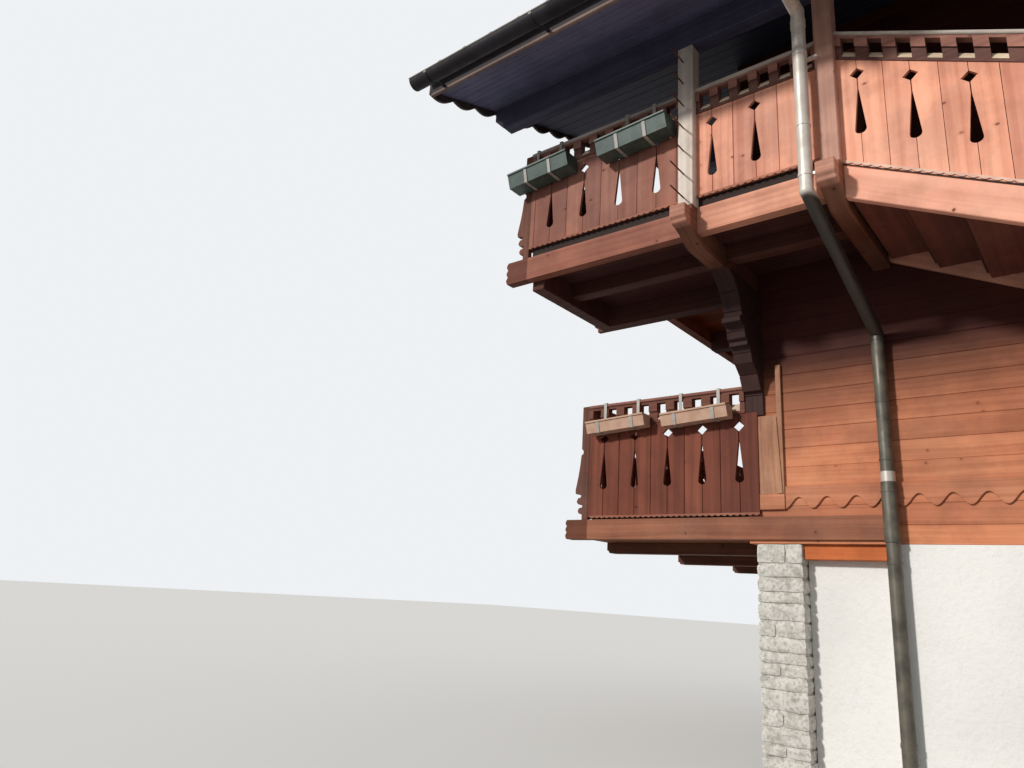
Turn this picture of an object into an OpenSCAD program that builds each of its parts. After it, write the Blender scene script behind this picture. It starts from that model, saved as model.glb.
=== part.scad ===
/* [House] */
// Length of the eave walls, over the timber
wall_len = 11500; // [9000:50:14000]
// Width of the gable walls, over the timber
gable_len = 9000; // [7000:50:11000]
// Height of the masonry storey
masonry_h = 2136; // [1900:1:2600]
// Thickness of the masonry walls and their corner piers
masonry_t = 370; // [300:10:500]
// How far the gable timber stands out over the masonry
sill_over = 50; // [0:5:90]
// Thickness of the timber walls
timber_t = 160; // [100:5:240]
// Thickness of both timber floors
floor_t = 200; // [180:10:280]
// Storey height from the lower floor to the upper floor
storey_h = 2214; // [2100:1:2700]
// Width of the recess beside the front corner pier
niche_w = 660; // [400:10:900]
// Depth of that recess
niche_d = 140; // [60:5:200]

/* [Openings] */
// Window width
window_w = 1000; // [700:10:1300]
// Window height
window_h = 1050; // [700:10:1200]
// Height of a window sill above its floor
sill_h = 850; // [600:10:1000]
// Cellar window height
cellar_window_h = 500; // [300:10:700]
// Door width
door_w = 900; // [750:10:1100]
// Door height
door_h = 1950; // [1800:10:2050]
// Width of a frame bar
frame_w = 70; // [50:5:100]
// Depth of a window frame
frame_d = 70; // [50:5:90]
// Depth of the glazing bars
bar_d = 30; // [20:2:40]
// Thickness of a pane
pane_t = 12; // [6:1:16]
// Setback of frames and doors from the wall face
reveal = 40; // [10:5:60]
// Thickness of a door leaf
leaf_t = 60; // [40:5:80]

/* [Roof] */
// Rise of the roof for each unit of run
pitch = 0.36; // [0.28:0.01:0.5]
// Height of the soffit above the upper floor at the eave walls
soffit_h = 2232; // [2150:1:2700]
// Reach of the eaves past the wall, to the fascia
eave_over = 2155; // [1700:5:2500]
// Reach of the verges past the gable timber
verge_over = 2060; // [1750:5:2600]
// Upright thickness of the boarded roof deck
roof_deck_t = 120; // [80:5:200]
// Upright thickness of the roof covering
cover_t = 80; // [50:5:120]
// Reach of the covering past the fascia
cover_over = 130; // [60:5:160]
// Thickness of the bargeboards
barge_t = 30; // [20:2:50]
// Drop of the bargeboard lobes below the soffit
barge_drop = 75; // [50:5:120]
// Depth of the scallops in the bargeboards
scallop_d = 55; // [20:1:60]
// Spacing of the scallops
scallop_pitch = 300; // [150:10:500]
// Thickness of the fascia
fascia_t = 30; // [20:2:50]
// Radius of the half-round gutter
gutter_r = 75; // [60:1:90]
// Thickness of gutter and downpipe metal
metal_t = 4; // [3:0.5:6]
// Gap between the fascia and the gutter, spanned by the gutter hooks
gutter_gap = 100; // [60:5:120]
// Spacing of the gutter hooks
hook_pitch = 1100; // [600:50:1500]
// Outer radius of the downpipes
pipe_r = 48; // [35:1:60]
// How far the elbows of a downpipe stand out over it
elbow_over = 1.5; // [1:0.5:4]
// Height of the lowest downpipe clip
clip_foot = 800; // [200:10:850]
// Spacing of the downpipe clips on a wall
clip_pitch = 1200; // [1000:50:1350]
// Width of the purlins
purlin_w = 130; // [100:5:200]
// Depth of the purlins
purlin_d = 260; // [180:5:320]

/* [Side balcony and galleries] */
// Depth of the balcony along the eave wall
side_depth = 1200; // [900:10:1500]
// Reach of the balcony wing past the gable timber
wing_over = 1545; // [1200:5:1900]
// How far the wing runs back past the eave wall face
wing_back = 150; // [100:10:400]
// Depth of the upper gable gallery
up_gallery = 940; // [700:10:1200]
// Depth of the lower gable gallery
low_gallery = 1580; // [1200:10:1900]
// Distance from the gable face to the stair side of the inner post
post_gap = 1215; // [1000:5:1800]
// Thickness of the deck boards
deck_t = 50; // [30:2:70]
// Depth of the joists
joist_h = 200; // [140:5:260]
// Width of joists, brackets and posts
post_w = 130; // [100:5:180]
// Depth of the edge beams
edge_h = 215; // [170:5:240]
// Thickness of the edge beams
edge_t = 90; // [60:5:120]
// Height of the edge beams above the deck
edge_up = 50; // [20:5:70]
// Reach of the carved beam ends past the balcony front
nose = 210; // [200:5:260]
// Reach of the lobed ends of the edge beams
lobe_out = 250; // [190:5:280]
// Spacing of the upper gallery joists
joist_pitch = 1080; // [700:10:1500]
// Spacing of the lower gallery joists
low_joist_pitch = 1500; // [900:10:1800]
// Width of a carved corner post
corner_w = 92; // [75:1:110]
// Width of the swept foot of a corner post
corner_flare = 150; // [120:1:180]
// Thickness of a corner post
corner_t = 50; // [30:1:80]
// Number of pegs in the front of the tall corner post
peg_count = 7; // [4:1:8]
// Spacing of those pegs
peg_pitch = 210; // [170:5:210]
// Height of the lowest peg above the beam
peg_foot = 80; // [60:5:200]
// Length of a peg
peg_len = 220; // [120:5:260]
// Radius of a peg
peg_r = 6; // [4:0.5:10]

/* [Balustrade] */
// Height of the handrails above the deck
rail_h = 1132; // [1000:1:1250]
// Height of the toothed band with its handrail
band_h = 236; // [200:1:260]
// Gap between an upper edge beam and its boards
board_gap = 90; // [20:1:120]
// The same gap on the lower gallery
low_board_gap = 23; // [10:1:60]
// Thickness of the balustrade boards
board_t = 27; // [20:1:40]
// Spacing of the sawn cut-outs, two boards
cut_pitch = 334; // [260:1:420]
// Distance from the ends of the balcony wing to its first cut-outs
wing_lead = 230; // [110:5:300]
// The same distance beside the tall posts
post_lead = 130; // [110:5:300]
// Distance from the top of the boards down to the foot of a drop
cut_drop = 596; // [550:1:620]
// Half width of the round foot of a drop
drop_r = 38; // [25:1:48]
// Half height of that foot
drop_flat = 33; // [22:1:48]
// Height of a drop
drop_h = 370; // [250:5:380]
// Width of the saw kerf over a drop
kerf = 7; // [4:1:12]
// Height of the star's centre above the foot of the drop
star_h = 486; // [440:2:500]
// Half width of the star
star_w = 50; // [30:1:60]
// Half height of the star
star_d = 42; // [30:1:50]
// Spacing of the uprights behind the long bays of boards
stay_pitch = 1700; // [1200:50:2500]
// Thickness of those uprights
stay_w = 60; // [40:5:80]
// Thickness of the foot rails behind the boards
sole_t = 40; // [25:1:50]
// How far the foot rails reach up behind the boards
sole_lap = 60; // [20:5:100]
// Thickness of the handrail cap
cap_h = 33; // [20:1:50]
// Height of the recess under the cap
groove_h = 20; // [8:1:30]
// Setback of that recess, and of the teeth, from the nose of the cap
nose_out = 4; // [2:1:10]
// Joint left between two rails that meet at a corner
seat = 0.3; // [0.2:0.1:1]
// Height of the strip under the teeth
strip_h = 24; // [15:1:40]
// Spacing of the teeth
tooth_pitch = 171; // [150:1:260]
// Width of the see-through gap between two teeth
tooth_gap = 89; // [60:1:100]
// How far the upper tier of teeth stands out over the lower one
tier_set = 14; // [6:1:20]
// Rise of the sloping sill in a gap
sill_rise = 75; // [30:1:80]
// Depth of the handrail
rail_d = 80; // [60:2:110]

/* [Stair] */
// Number of risers from the upper floor to the landing
risers_up = 14; // [12:1:16]
// Number of risers from the landing to the ground
risers_low = 15; // [13:1:17]
// Going of a tread
going = 320; // [270:1:330]
// Thickness of the treads
tread_t = 45; // [30:1:60]
// Thickness of the risers
riser_t = 25; // [18:1:30]
// Nosing of the treads
nosing = 30; // [10:1:50]
// Upright depth of the strings
string_h = 247; // [225:1:300]
// Thickness of the strings
string_t = 60; // [40:2:80]
// Height of the strings above the nosing line
string_up = 30; // [10:1:60]
// Length of the landing
landing_len = 1200; // [1000:10:1500]

/* [Flower boxes] */
// Length of a flower box
box_len = 660; // [500:10:700]
// Depth of a flower box, out from the boards
box_d = 190; // [120:5:230]
// Height of a flower box
box_h = 135; // [100:5:180]
// Height of the foot of a flower box above the deck
box_z = 730; // [600:5:800]
// Length of a flower box on the lower gallery
low_box_len = 625; // [500:5:700]
// Depth of a flower box on the lower gallery
low_box_d = 140; // [100:5:200]
// Height of a flower box on the lower gallery
low_box_h = 112; // [90:1:160]
// Height of its foot above the deck
low_box_z = 832; // [700:2:860]
// Lean of the boxes along the rail, in degrees
box_lean = 3; // [0:0.5:4]
// Width of the straps that hang the boxes on the handrail
strap_w = 30; // [20:1:40]
// Thickness of those straps
strap_t = 5; // [4:0.5:8]

/* [Wall trim] */
// Thickness of the scalloped trim board
trim_t = 18; // [12:1:30]
// Height of its top above the lower floor
trim_top = 253; // [200:1:300]
// Height of its lower points above the lower floor
trim_foot = 74; // [60:1:100]
// Height of the scallops
wave_h = 90; // [40:1:110]
// Spacing of the scallops
wave_pitch = 214.5; // [150:0.5:300]
// Width of the boarded pilaster at the front corner
pilaster_w = 203; // [160:1:240]
// Height of its wide board
pilaster_h = 660; // [500:5:665]
// Height of its narrow strip
strip_up = 1090; // [700:5:1300]
// Depth of the board at the head of the recess
head_d = 100; // [60:5:130]
// Height of that board
head_h = 116; // [80:1:150]

/* [Hidden] */

hx = wall_len / 2;
hy = gable_len / 2;
mx = hx - sill_over;
low_z = masonry_h + floor_t;
up_z = low_z + storey_h;
soffit_z = up_z + soffit_h;
eave_y = hy + eave_over;
verge_x = hx + verge_over;
gutter_y = eave_y + gutter_gap + gutter_r;

front_y = -hy - side_depth;
wing_x = -hx - wing_over;
back_y = -hy + wing_back;
up_x = -hx - up_gallery;
low_x = -hx - low_gallery;
joist_z = up_z - deck_t - joist_h;
edge_top = up_z + edge_up;
edge_z = edge_top - edge_h;
low_edge_top = low_z + 13;
low_edge_z = low_edge_top - 183;
post_x1 = -hx;
post_x2 = -hx + post_gap - post_w;
stair_x = post_x2 + post_w + riser_t;
post_y = front_y + string_t - post_w;

board_top = up_z + rail_h - band_h;
board_z = edge_top + board_gap;
low_board_top = low_z + rail_h - band_h;
low_board_z = low_edge_top + low_board_gap;

rise_up = storey_h / risers_up;
rise_low = low_z / risers_low;
slope_up = rise_up / going;
slope_low = rise_low / going;
landing_x = stair_x + (risers_up - 1) * going;
foot_x = landing_x + landing_len + (risers_low - 1) * going;
string_x = post_x2 + post_w;
string_foot = up_z + slope_up * riser_t + string_up - string_h;
pilaster_x = -hx + 107;
trim_x = pilaster_x + pilaster_w;
trim_end = string_x + (string_foot - low_z - trim_top) / slope_up - 300;
inner_y = -hy - string_t;
step_y = front_y + string_t;

timber = [0.60, 0.36, 0.26];
sunlit = [0.78, 0.53, 0.44];
shaded = [0.34, 0.20, 0.17];

// Height of the soffit at a distance y from the ridge line
function soffit(y) = soffit_z + pitch * (hy - abs(y));

// Windows as [side, place along the wall]: 0 front, 1 east, 2 back, 3 west
windows_low = [[0, 0.42 * hx], [0, 0.76 * hx], [2, -0.62 * hx], [2, 0], [2, 0.62 * hx],
    [1, -0.55 * hy], [1, 0], [1, 0.55 * hy], [3, -0.55 * hy], [3, 0.55 * hy]];
windows_up = [[0, -0.22 * hx], [0, 0.22 * hx], [0, 0.7 * hx], [2, -0.62 * hx], [2, 0],
    [2, 0.62 * hx], [1, -0.48 * hy], [1, 0], [1, 0.48 * hy], [3, -0.48 * hy], [3, 0.48 * hy]];
windows_cellar = [[0, 0.62 * hx], [2, -0.5 * hx], [2, 0.5 * hx], [1, -0.4 * hy],
    [1, 0.4 * hy], [3, -0.4 * hy], [3, 0.4 * hy]];
side_door = (post_x1 + timber_t + post_x2) / 2 + 40;
entrance = landing_x + landing_len / 2;
doors_low = [[0, entrance], [3, 0]];
doors_up = [[0, side_door], [3, 0]];
doors_cellar = [[0, entrance]];

// Shapes drawn in the Y-Z plane, run along X from x0 to x1
module along_x(x0, x1) {
    translate([x0, 0, 0]) rotate([90, 0, 90]) linear_extrude(x1 - x0) children();
}

// Shapes drawn in the X-Z plane, run along Y from y0 to y1
module along_y(y0, y1) {
    translate([0, y1, 0]) rotate([90, 0, 0]) linear_extrude(y1 - y0) children();
}

// A block between two opposite corners
module block(a, b) {
    translate(a) cube(b - a);
}

// Turns a piece drawn on the front wall, facing -Y, to one of the four sides
module on_side(side, half_x = hx) {
    rotate([0, 0, 90 * side]) translate([0, side % 2 == 0 ? -hy : -half_x, 0]) children();
}

// The holes for a list of openings, cut through a wall of thickness t
module holes(spots, w, h, z, t, half_x = hx) {
    for (spot = spots)
        on_side(spot[0], half_x)
            block([spot[1] - w / 2, -1, z], [spot[1] + w / 2, t + 1, z + h]);
}

module holes_low() {
    holes(windows_low, window_w, window_h, low_z + sill_h, timber_t);
    holes(doors_low, door_w, door_h, low_z, timber_t);
}

module holes_up() {
    holes(windows_up, window_w, window_h, up_z + sill_h, timber_t);
    holes(doors_up, door_w, door_h, up_z, timber_t);
}

module holes_cellar() {
    holes(windows_cellar, window_w, cellar_window_h, masonry_h - 2 * cellar_window_h,
        masonry_t, mx);
    holes(doors_cellar, door_w, door_h, 0, masonry_t, mx);
}

module cellar_long_walls() {
    color([0.93, 0.92, 0.90]) difference() {
        for (end = [-1, 1])
            block([-mx + masonry_t, end < 0 ? -hy : hy - masonry_t, 0],
                [mx - masonry_t, end < 0 ? -hy + masonry_t : hy, masonry_h]);
        block([-mx + masonry_t - 1, -hy - 1, -1],
            [-mx + masonry_t + niche_w, -hy + niche_d, masonry_h + 1]);
        holes_cellar();
    }
}

module cellar_end_walls() {
    color([0.93, 0.92, 0.90]) difference() {
        for (side = [-1, 1])
            block([side < 0 ? -mx : mx - masonry_t, -hy + masonry_t, 0],
                [side < 0 ? -mx + masonry_t : mx, hy - masonry_t, masonry_h]);
        holes_cellar();
    }
}

module corner_piers() {
    color([0.74, 0.73, 0.70])
        for (side = [-1, 1], end = [-1, 1])
            translate([side * (mx - masonry_t / 2), end * (hy - masonry_t / 2), masonry_h / 2])
                cube([masonry_t, masonry_t, masonry_h], center = true);
}

module long_wall(end, z0, z1) {
    block([-hx, end < 0 ? -hy : hy - timber_t, z0], [hx, end < 0 ? -hy + timber_t : hy, z1]);
}

module end_wall(side, z0, z1) {
    block([side < 0 ? -hx : hx - timber_t, -hy + timber_t, z0],
        [side < 0 ? -hx + timber_t : hx, hy - timber_t, z1]);
}

module front_wall_low() {
    color(timber) difference() {
        long_wall(-1, masonry_h, up_z);
        holes_low();
    }
}

module back_wall_low() {
    color(timber) difference() {
        long_wall(1, masonry_h, up_z);
        holes_low();
    }
}

module west_wall_low() {
    color(timber) difference() {
        end_wall(-1, masonry_h, up_z);
        holes_low();
    }
}

module east_wall_low() {
    color(timber) difference() {
        end_wall(1, masonry_h, up_z);
        holes_low();
    }
}

// The upper eave walls end under the sloping soffit
module upper_long_wall(end) {
    along_x(-hx, hx)
        polygon([[end * hy, up_z], [end * hy, soffit(hy)],
            [end * (hy - timber_t), soffit(hy - timber_t)], [end * (hy - timber_t), up_z]]);
}

module front_wall_up() {
    color(timber) difference() {
        upper_long_wall(-1);
        holes_up();
    }
}

module back_wall_up() {
    color(timber) difference() {
        upper_long_wall(1);
        holes_up();
    }
}

module gable(side) {
    inner = hy - timber_t;
    difference() {
        along_x(side < 0 ? -hx : hx - timber_t, side < 0 ? -hx + timber_t : hx)
            polygon([[-inner, up_z], [-inner, soffit(inner)], [0, soffit(0)],
                [inner, soffit(inner)], [inner, up_z]]);
        holes_up();
        purlin_set();
    }
}

module west_gable() {
    color(timber) gable(-1);
}

module east_gable() {
    color(timber) gable(1);
}

module floor_plate(top) {
    block([-hx + timber_t, -hy + timber_t, top - floor_t], [hx - timber_t, hy - timber_t, top]);
}

module floor_low() {
    color([0.62, 0.48, 0.34]) floor_plate(low_z);
}

module floor_up() {
    color([0.62, 0.48, 0.34]) floor_plate(up_z);
}

// One roof slope as a slab of upright thickness t, lying lift above the soffit
module slope_slab(end, lift, t, reach, half_len) {
    along_x(-half_len, half_len)
        polygon([[0, soffit(0) + lift], [end * reach, soffit(reach) + lift],
            [end * reach, soffit(reach) + lift + t], [0, soffit(0) + lift + t]]);
}

module roof_deck_front() {
    color(shaded) slope_slab(-1, 0, roof_deck_t, eave_y - fascia_t, verge_x - barge_t);
}

module roof_deck_back() {
    color(shaded) slope_slab(1, 0, roof_deck_t, eave_y - fascia_t, verge_x - barge_t);
}

module roof_cover_front() {
    color([0.33, 0.31, 0.31])
        slope_slab(-1, roof_deck_t, cover_t, eave_y + cover_over, verge_x);
}

module roof_cover_back() {
    color([0.33, 0.31, 0.31])
        slope_slab(1, roof_deck_t, cover_t, eave_y + cover_over, verge_x);
}

module ridge_cap() {
    lift = roof_deck_t + cover_t;
    color([0.28, 0.26, 0.26])
        along_x(-verge_x, verge_x)
            polygon([[0, soffit(0) + lift], [200, soffit(200) + lift],
                [200, soffit(200) + lift + 40], [0, soffit(0) + lift + 40],
                [-200, soffit(200) + lift + 40], [-200, soffit(200) + lift]]);
}

// Lower edge of a bargeboard: round lobes below the soffit line
function lobes(end) = let(n = floor((eave_y - 20) / scallop_pitch), k = 8)
    [for (i = [0 : n * k]) let(y = 20 + i * (eave_y - 20) / (n * k))
        [end * y, soffit(y) - barge_drop + scallop_d * (1 - abs(sin(180 * i / k)))]];

module bargeboards() {
    color(shaded)
        for (side = [-1, 1], end = [-1, 1])
            along_x(side < 0 ? -verge_x : verge_x - barge_t,
                side < 0 ? -verge_x + barge_t : verge_x)
                polygon(concat(lobes(end), [[end * eave_y, soffit(eave_y) + roof_deck_t],
                    [end * 20, soffit(20) + roof_deck_t]]));
}

module fascias() {
    drop = 50;
    color([0.60, 0.50, 0.42])
        for (end = [-1, 1])
            along_x(-verge_x + barge_t, verge_x - barge_t)
                polygon([[end * (eave_y - fascia_t), soffit(eave_y) - drop],
                    [end * eave_y, soffit(eave_y) - drop],
                    [end * eave_y, soffit(eave_y) + roof_deck_t],
                    [end * (eave_y - fascia_t), soffit(eave_y - fascia_t) + roof_deck_t]]);
}

// A half-round gutter on flat hooks that reach back to the fascia
module gutter() {
    hooks = floor(2 * (verge_x - 200) / hook_pitch);
    gz = soffit(eave_y) - 10;
    translate([0, -gutter_y, gz]) {
        difference() {
            union() {
                along_x(-verge_x, verge_x) circle(gutter_r);
                along_x(-verge_x, verge_x) translate([-gutter_r, 0]) circle(2 * metal_t, $fn = 12);
                for (i = [0 : hooks])
                    translate([-verge_x + 200 + i * 2 * (verge_x - 200) / hooks, 0, 0])
                        along_x(-15, 15) circle(gutter_r + metal_t);
            }
            along_x(-verge_x + metal_t, verge_x - metal_t) circle(gutter_r - metal_t);
            block([-verge_x - 1, -2 * gutter_r, 0], [verge_x + 1, 2 * gutter_r, 2 * gutter_r]);
        }
        for (i = [0 : hooks])
            translate([-verge_x + 200 + i * 2 * (verge_x - 200) / hooks, 0, 0])
                block([-15, gutter_r - metal_t, -8], [15, gutter_r + gutter_gap, 0]);
    }
}

module gutters() {
    color([0.45, 0.44, 0.43])
        for (turn = [0, 180])
            rotate([0, 0, turn]) gutter();
}

// A straight run of pipe from a to b; a ball closes the bend at b
module pipe_run(a, b, ball = true) {
    d = b - a;
    translate(a)
        rotate([0, acos(d[2] / norm(d)), atan2(d[1], d[0])])
            cylinder(h = norm(d), r = pipe_r, $fn = 24);
    if (ball) translate(b) sphere(r = pipe_r + elbow_over, $fn = 24);
}

// A clip round an upright pipe at p, with a stay to the face at face_y
module clip(p, face_y) {
    translate([p[0], p[1], p[2] - 15]) cylinder(h = 30, r = pipe_r + metal_t, $fn = 24);
    block([p[0] - 10, min(p[1], face_y), p[2] - 10], [p[0] + 10, max(p[1], face_y), p[2] + 10]);
}

pipe_x = post_x2 - pipe_r - 25;
pipe_y = post_y - pipe_r - 45;
wall_pipe_y = -hy - pipe_r - 30;

// A ring or sleeve of height h round an upright pipe at p, standing out by over
module ring(p, h, over = 4) {
    translate(p) cylinder(h = h, r = pipe_r + over, $fn = 24);
}

module downpipes() {
    outlet = soffit(eave_y) - gutter_r - 8;
    neck = outlet - pipe_r - 6;
    bend = joist_z + 80;
    foot = [pipe_x + 80, wall_pipe_y, bend - 640];
    back_x = hx - 300;
    color([0.45, 0.44, 0.43]) {
        pipe_run([pipe_x, -gutter_y, outlet], [pipe_x, -gutter_y, neck]);
        pipe_run([pipe_x, -gutter_y, neck], [pipe_x, pipe_y, neck - 9]);
        pipe_run([pipe_x, pipe_y, neck - 9], [pipe_x, pipe_y, bend]);
        pipe_run([pipe_x, pipe_y, bend], foot);
        pipe_run(foot, [foot[0], foot[1], 20], false);
        ring([pipe_x, pipe_y, neck - 150], 67);
        ring([pipe_x, pipe_y, bend + 500], 10);
        ring([foot[0], foot[1], foot[2] - 60], 12);
        ring([foot[0], foot[1], low_z + 404], 12);
        ring([foot[0], foot[1], low_z + 244], 80, 2);
        ring([foot[0], foot[1], low_z - 196], 440, 6);
        for (z = [low_z - 192, low_z + 168]) ring([foot[0], foot[1], z], 12, 10);
        clip([pipe_x, pipe_y, up_z + 933], post_y - 20);
        block([pipe_x - 10, post_y - 30, up_z + 923], [post_x2 + 30, post_y, up_z + 943]);
        ring([pipe_x, pipe_y, bend + 105], 24);
        block([pipe_x, pipe_y - 10, bend + 107], [post_x2, pipe_y + 10, bend + 127]);
        for (i = [0 : 2])
            clip([foot[0], foot[1], clip_foot + i * clip_pitch],
                foot[0] < -mx + masonry_t + niche_w ? -hy + niche_d : -hy);
        pipe_run([back_x, gutter_y, outlet], [back_x, gutter_y, neck]);
        pipe_run([back_x, gutter_y, neck], [back_x, -wall_pipe_y, up_z + 600]);
        pipe_run([back_x, -wall_pipe_y, up_z + 600], [back_x, -wall_pipe_y, 20], false);
        for (i = [0 : 3])
            clip([back_x, -wall_pipe_y, clip_foot + i * clip_pitch], hy);
    }
}

// One purlin under the soffit, its top following the slope, its ends rounded below
module purlin(y) {
    half = verge_x - barge_t;
    a = y - purlin_w / 2;
    b = y + purlin_w / 2;
    foot = soffit(y) - purlin_d;
    difference() {
        along_x(-half, half)
            polygon(y == 0 ? [[a, foot], [b, foot], [b, soffit(b)], [0, soffit(0)], [a, soffit(a)]]
                : [[a, foot], [b, foot], [b, soffit(b)], [a, soffit(a)]]);
        for (side = [-1, 1])
            along_y(a - 1, b + 1)
                translate([side * half, foot]) circle(purlin_d * 0.45);
    }
}

purlin_rows = [-post_y - post_w / 2, hy / 2];

module purlin_set() {
    purlin(0);
    for (y = purlin_rows, end = [-1, 1]) purlin(end * y);
}

module purlins() {
    color(shaded) purlin_set();
}

// Outline of the stepped log ends under a beam: [reach from the wall, height below the beam]
log_steps = [[0, 1100], [24, 1100], [32, 900], [72, 895], [140, 765], [234, 690], [285, 575],
    [335, 565], [335, 525], [373, 514], [395, 420], [480, 400], [485, 360], [437, 335],
    [460, 240], [505, 150], [585, 62], [700, 0], [0, 0]];

module corner_console() {
    color(timber)
        along_x(-hx, -hx + timber_t)
            polygon([for (p = log_steps) [-hy - p[0], joist_z - p[1]]]);
}

// Under the eaves the log ends reach right out to the purlin
module eave_consoles() {
    reach = purlin_rows[0] - hy + purlin_w / 2;
    foot = soffit(purlin_rows[0]) - purlin_d;
    color(timber)
        for (spot = [[1, -1], [-1, 1], [1, 1]])
            along_x(spot[0] < 0 ? -hx : hx - timber_t, spot[0] < 0 ? -hx + timber_t : hx)
                polygon([for (p = log_steps)
                    [spot[1] * (hy + p[0] * reach / 700), foot - p[1] * 0.9]]);
}

// Nose of a beam: [distance in from its end, depth below its top]
nose_steps = [[125, 0], [125, 45], [0, 45], [0, 140], [25, 165], [25, 182], [40, 192]];

// Side view of a joist with a carved end: a stepped nose and a swept belly
function carved(end, root, top, bottom, lift) = concat(
    [[root, bottom], [root, top], [end + nose + edge_t, top], [end + nose + edge_t, lift]],
    [for (p = nose_steps) [end + p[0], lift - p[1]]],
    [for (i = [1 : 8]) [end + 40 + i * 40,
        lift - 192 - (lift - 192 - bottom) * (1 - cos(22.5 * i)) / 2]]);

module cantilever_beams() {
    color(timber)
        for (x = [post_x1, post_x2])
            along_x(x, x + post_w)
                polygon(carved(front_y - nose, -hy, up_z - deck_t, joist_z, edge_top));
}

// Carriers of the upper decks: wing end and wing back joists, cross joists, gallery joists
module gallery_joists_up() {
    top = up_z - deck_t;
    n = floor((2 * hy - wing_back) / joist_pitch);
    cross_y = front_y + side_depth / 2;
    color(shaded) {
        block([wing_x, front_y + edge_t, joist_z], [wing_x + post_w, back_y - post_w, top]);
        block([wing_x, back_y - post_w, joist_z], [-hx, back_y, top]);
        block([wing_x + post_w, cross_y - post_w / 2, joist_z + 70], [-hx, cross_y + post_w / 2, top]);
        block([-hx + post_w, cross_y - post_w / 2, joist_z + 70],
            [post_x2, cross_y + post_w / 2, top]);
        for (i = [1 : n])
            let(y = back_y + i * (hy - back_y - edge_t - post_w / 2) / n)
                block([up_x + edge_t, y - post_w / 2, joist_z], [-hx, y + post_w / 2, top]);
    }
}

// Lobed end of an edge beam that runs to -X: three rounded tongues
module lobed_end(x, z, h) {
    r = h / 6;
    for (i = [0 : 2])
        translate([x - lobe_out + r, z + (2 * i + 1) * r]) {
            circle(r, $fn = 20);
            translate([-0.6 * r, -r]) square([lobe_out - 0.4 * r + 1, 2 * r]);
        }
}

module edge_beams_up() {
    color(sunlit) {
        along_y(front_y, front_y + edge_t)
            union() {
                translate([wing_x, edge_z]) square([-hx - wing_x, edge_h]);
                lobed_end(wing_x, edge_z, edge_h);
            }
        block([-hx + post_w, front_y, edge_z], [post_x2, front_y + edge_t, edge_top]);
        block([up_x, back_y, edge_z], [up_x + edge_t, hy, edge_top]);
        block([up_x + edge_t - 1, hy - edge_t, edge_z], [-hx, hy, edge_top]);
    }
}

module deck_up() {
    color(shaded) {
        block([wing_x, front_y + edge_t, up_z - deck_t], [stair_x, -hy, up_z]);
        block([wing_x, -hy - 1, up_z - deck_t], [-hx, back_y, up_z]);
        block([up_x + edge_t, back_y - 1, up_z - deck_t], [-hx, hy - edge_t, up_z]);
    }
}

module roof_posts() {
    foot = soffit(purlin_rows[0]) - purlin_d;
    color(sunlit) {
        for (x = [post_x1, post_x2])
            block([x, post_y, edge_top], [x + post_w, post_y + post_w, foot]);
        for (x = [landing_x, landing_x + landing_len - post_w])
            block([x, post_y, 0], [x + post_w, post_y + post_w, foot]);
        block([foot_x, front_y - 20, 0], [foot_x + post_w, front_y - 20 + post_w, rise_low + rail_h]);
    }
}

// Outer side of a corner post, in shares of its flare: [distance out, height over the foot]
corner_steps = [[0, 0], [0.46, 0], [0.46, 50], [0.7, 60], [0.78, 85], [0.7, 110], [0.44, 120],
    [0.44, 136], [0.78, 150], [0.88, 176], [0.78, 206], [0.56, 216], [0.56, 238], [0.97, 250],
    [1, 285], [0.92, 340], [0.8, 430], [0.7, 530], [0.63, 630], [0.48, 645], [0.48, 675],
    [0.61, 690]];

// A corner post beside the end of a bay at x, from its foot at z0 to its head at z1
module corner_post(x, y, z0, z1) {
    along_y(y, y + corner_t)
        polygon(concat([for (p = corner_steps) [x - p[0] * corner_flare, z0 + p[1]]],
            [[x - corner_w, z0 + 720], [x - corner_w, z1], [x, z1]]));
}

module corner_posts() {
    color(timber) {
        corner_post(wing_x, front_y, edge_top, up_z + rail_h);
        corner_post(wing_x, back_y - corner_t, joist_z, up_z + rail_h);
        corner_post(up_x, hy - corner_t, edge_z, up_z + rail_h);
        corner_post(low_x, -hy - 30, low_edge_top, low_z + rail_h);
        corner_post(low_x, hy - corner_t, low_edge_z, low_z + rail_h);
    }
}

// Pegs that stand straight out of the front of the tall post at the house corner
module post_pegs() {
    color([0.30, 0.24, 0.20])
        for (i = [0 : peg_count - 1])
            translate([post_x1 + 50, post_y, edge_top + peg_foot + i * peg_pitch])
                rotate([90, 0, 0]) cylinder(h = peg_len, r = peg_r, $fn = 12);
}

// The sawn cut-out: a drop with a round foot, a kerf, and a star with pointed sides
function cut_out() = let(lean = asin(drop_r / (drop_h - drop_flat)), k = kerf / 2)
    concat([for (i = [0 : 8]) let(a = lean - i * (180 + 2 * lean) / 8)
            [drop_r * cos(a), drop_flat * (1 + sin(a))]],
        [[-k, drop_h - 3 * k], [-k, star_h - star_d]],
        [for (i = [1 : 11]) let(a = -90 - 30 * i)
            [star_w * sign(cos(a)) * pow(abs(cos(a)), 1.6),
                star_h + star_d * sign(sin(a)) * pow(abs(sin(a)), 2.4)]],
        [[k, star_h - star_d], [k, drop_h - 3 * k]]);

// Moves points down by a slope times their run, for a raking balustrade
function rake(points, slope) = [for (p = points) [p[0], p[1] - slope * p[0]]];

// Boards of a bay of length len, from height foot to height top, with the first and last
// cut-outs a distance lead from its ends
module boards(len, foot, top, slope = 0, lead = cut_pitch / 2) {
    n = max(2, round((len - 2 * lead) / cut_pitch) + 1);
    step = (len - 2 * lead) / (n - 1);
    difference() {
        polygon(rake([[0, foot], [len, foot], [len, top], [0, top]], slope));
        for (i = [0 : n - 1])
            let(u = lead + i * step)
                translate([u, top - cut_drop - slope * u]) polygon(cut_out());
    }
}

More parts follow.
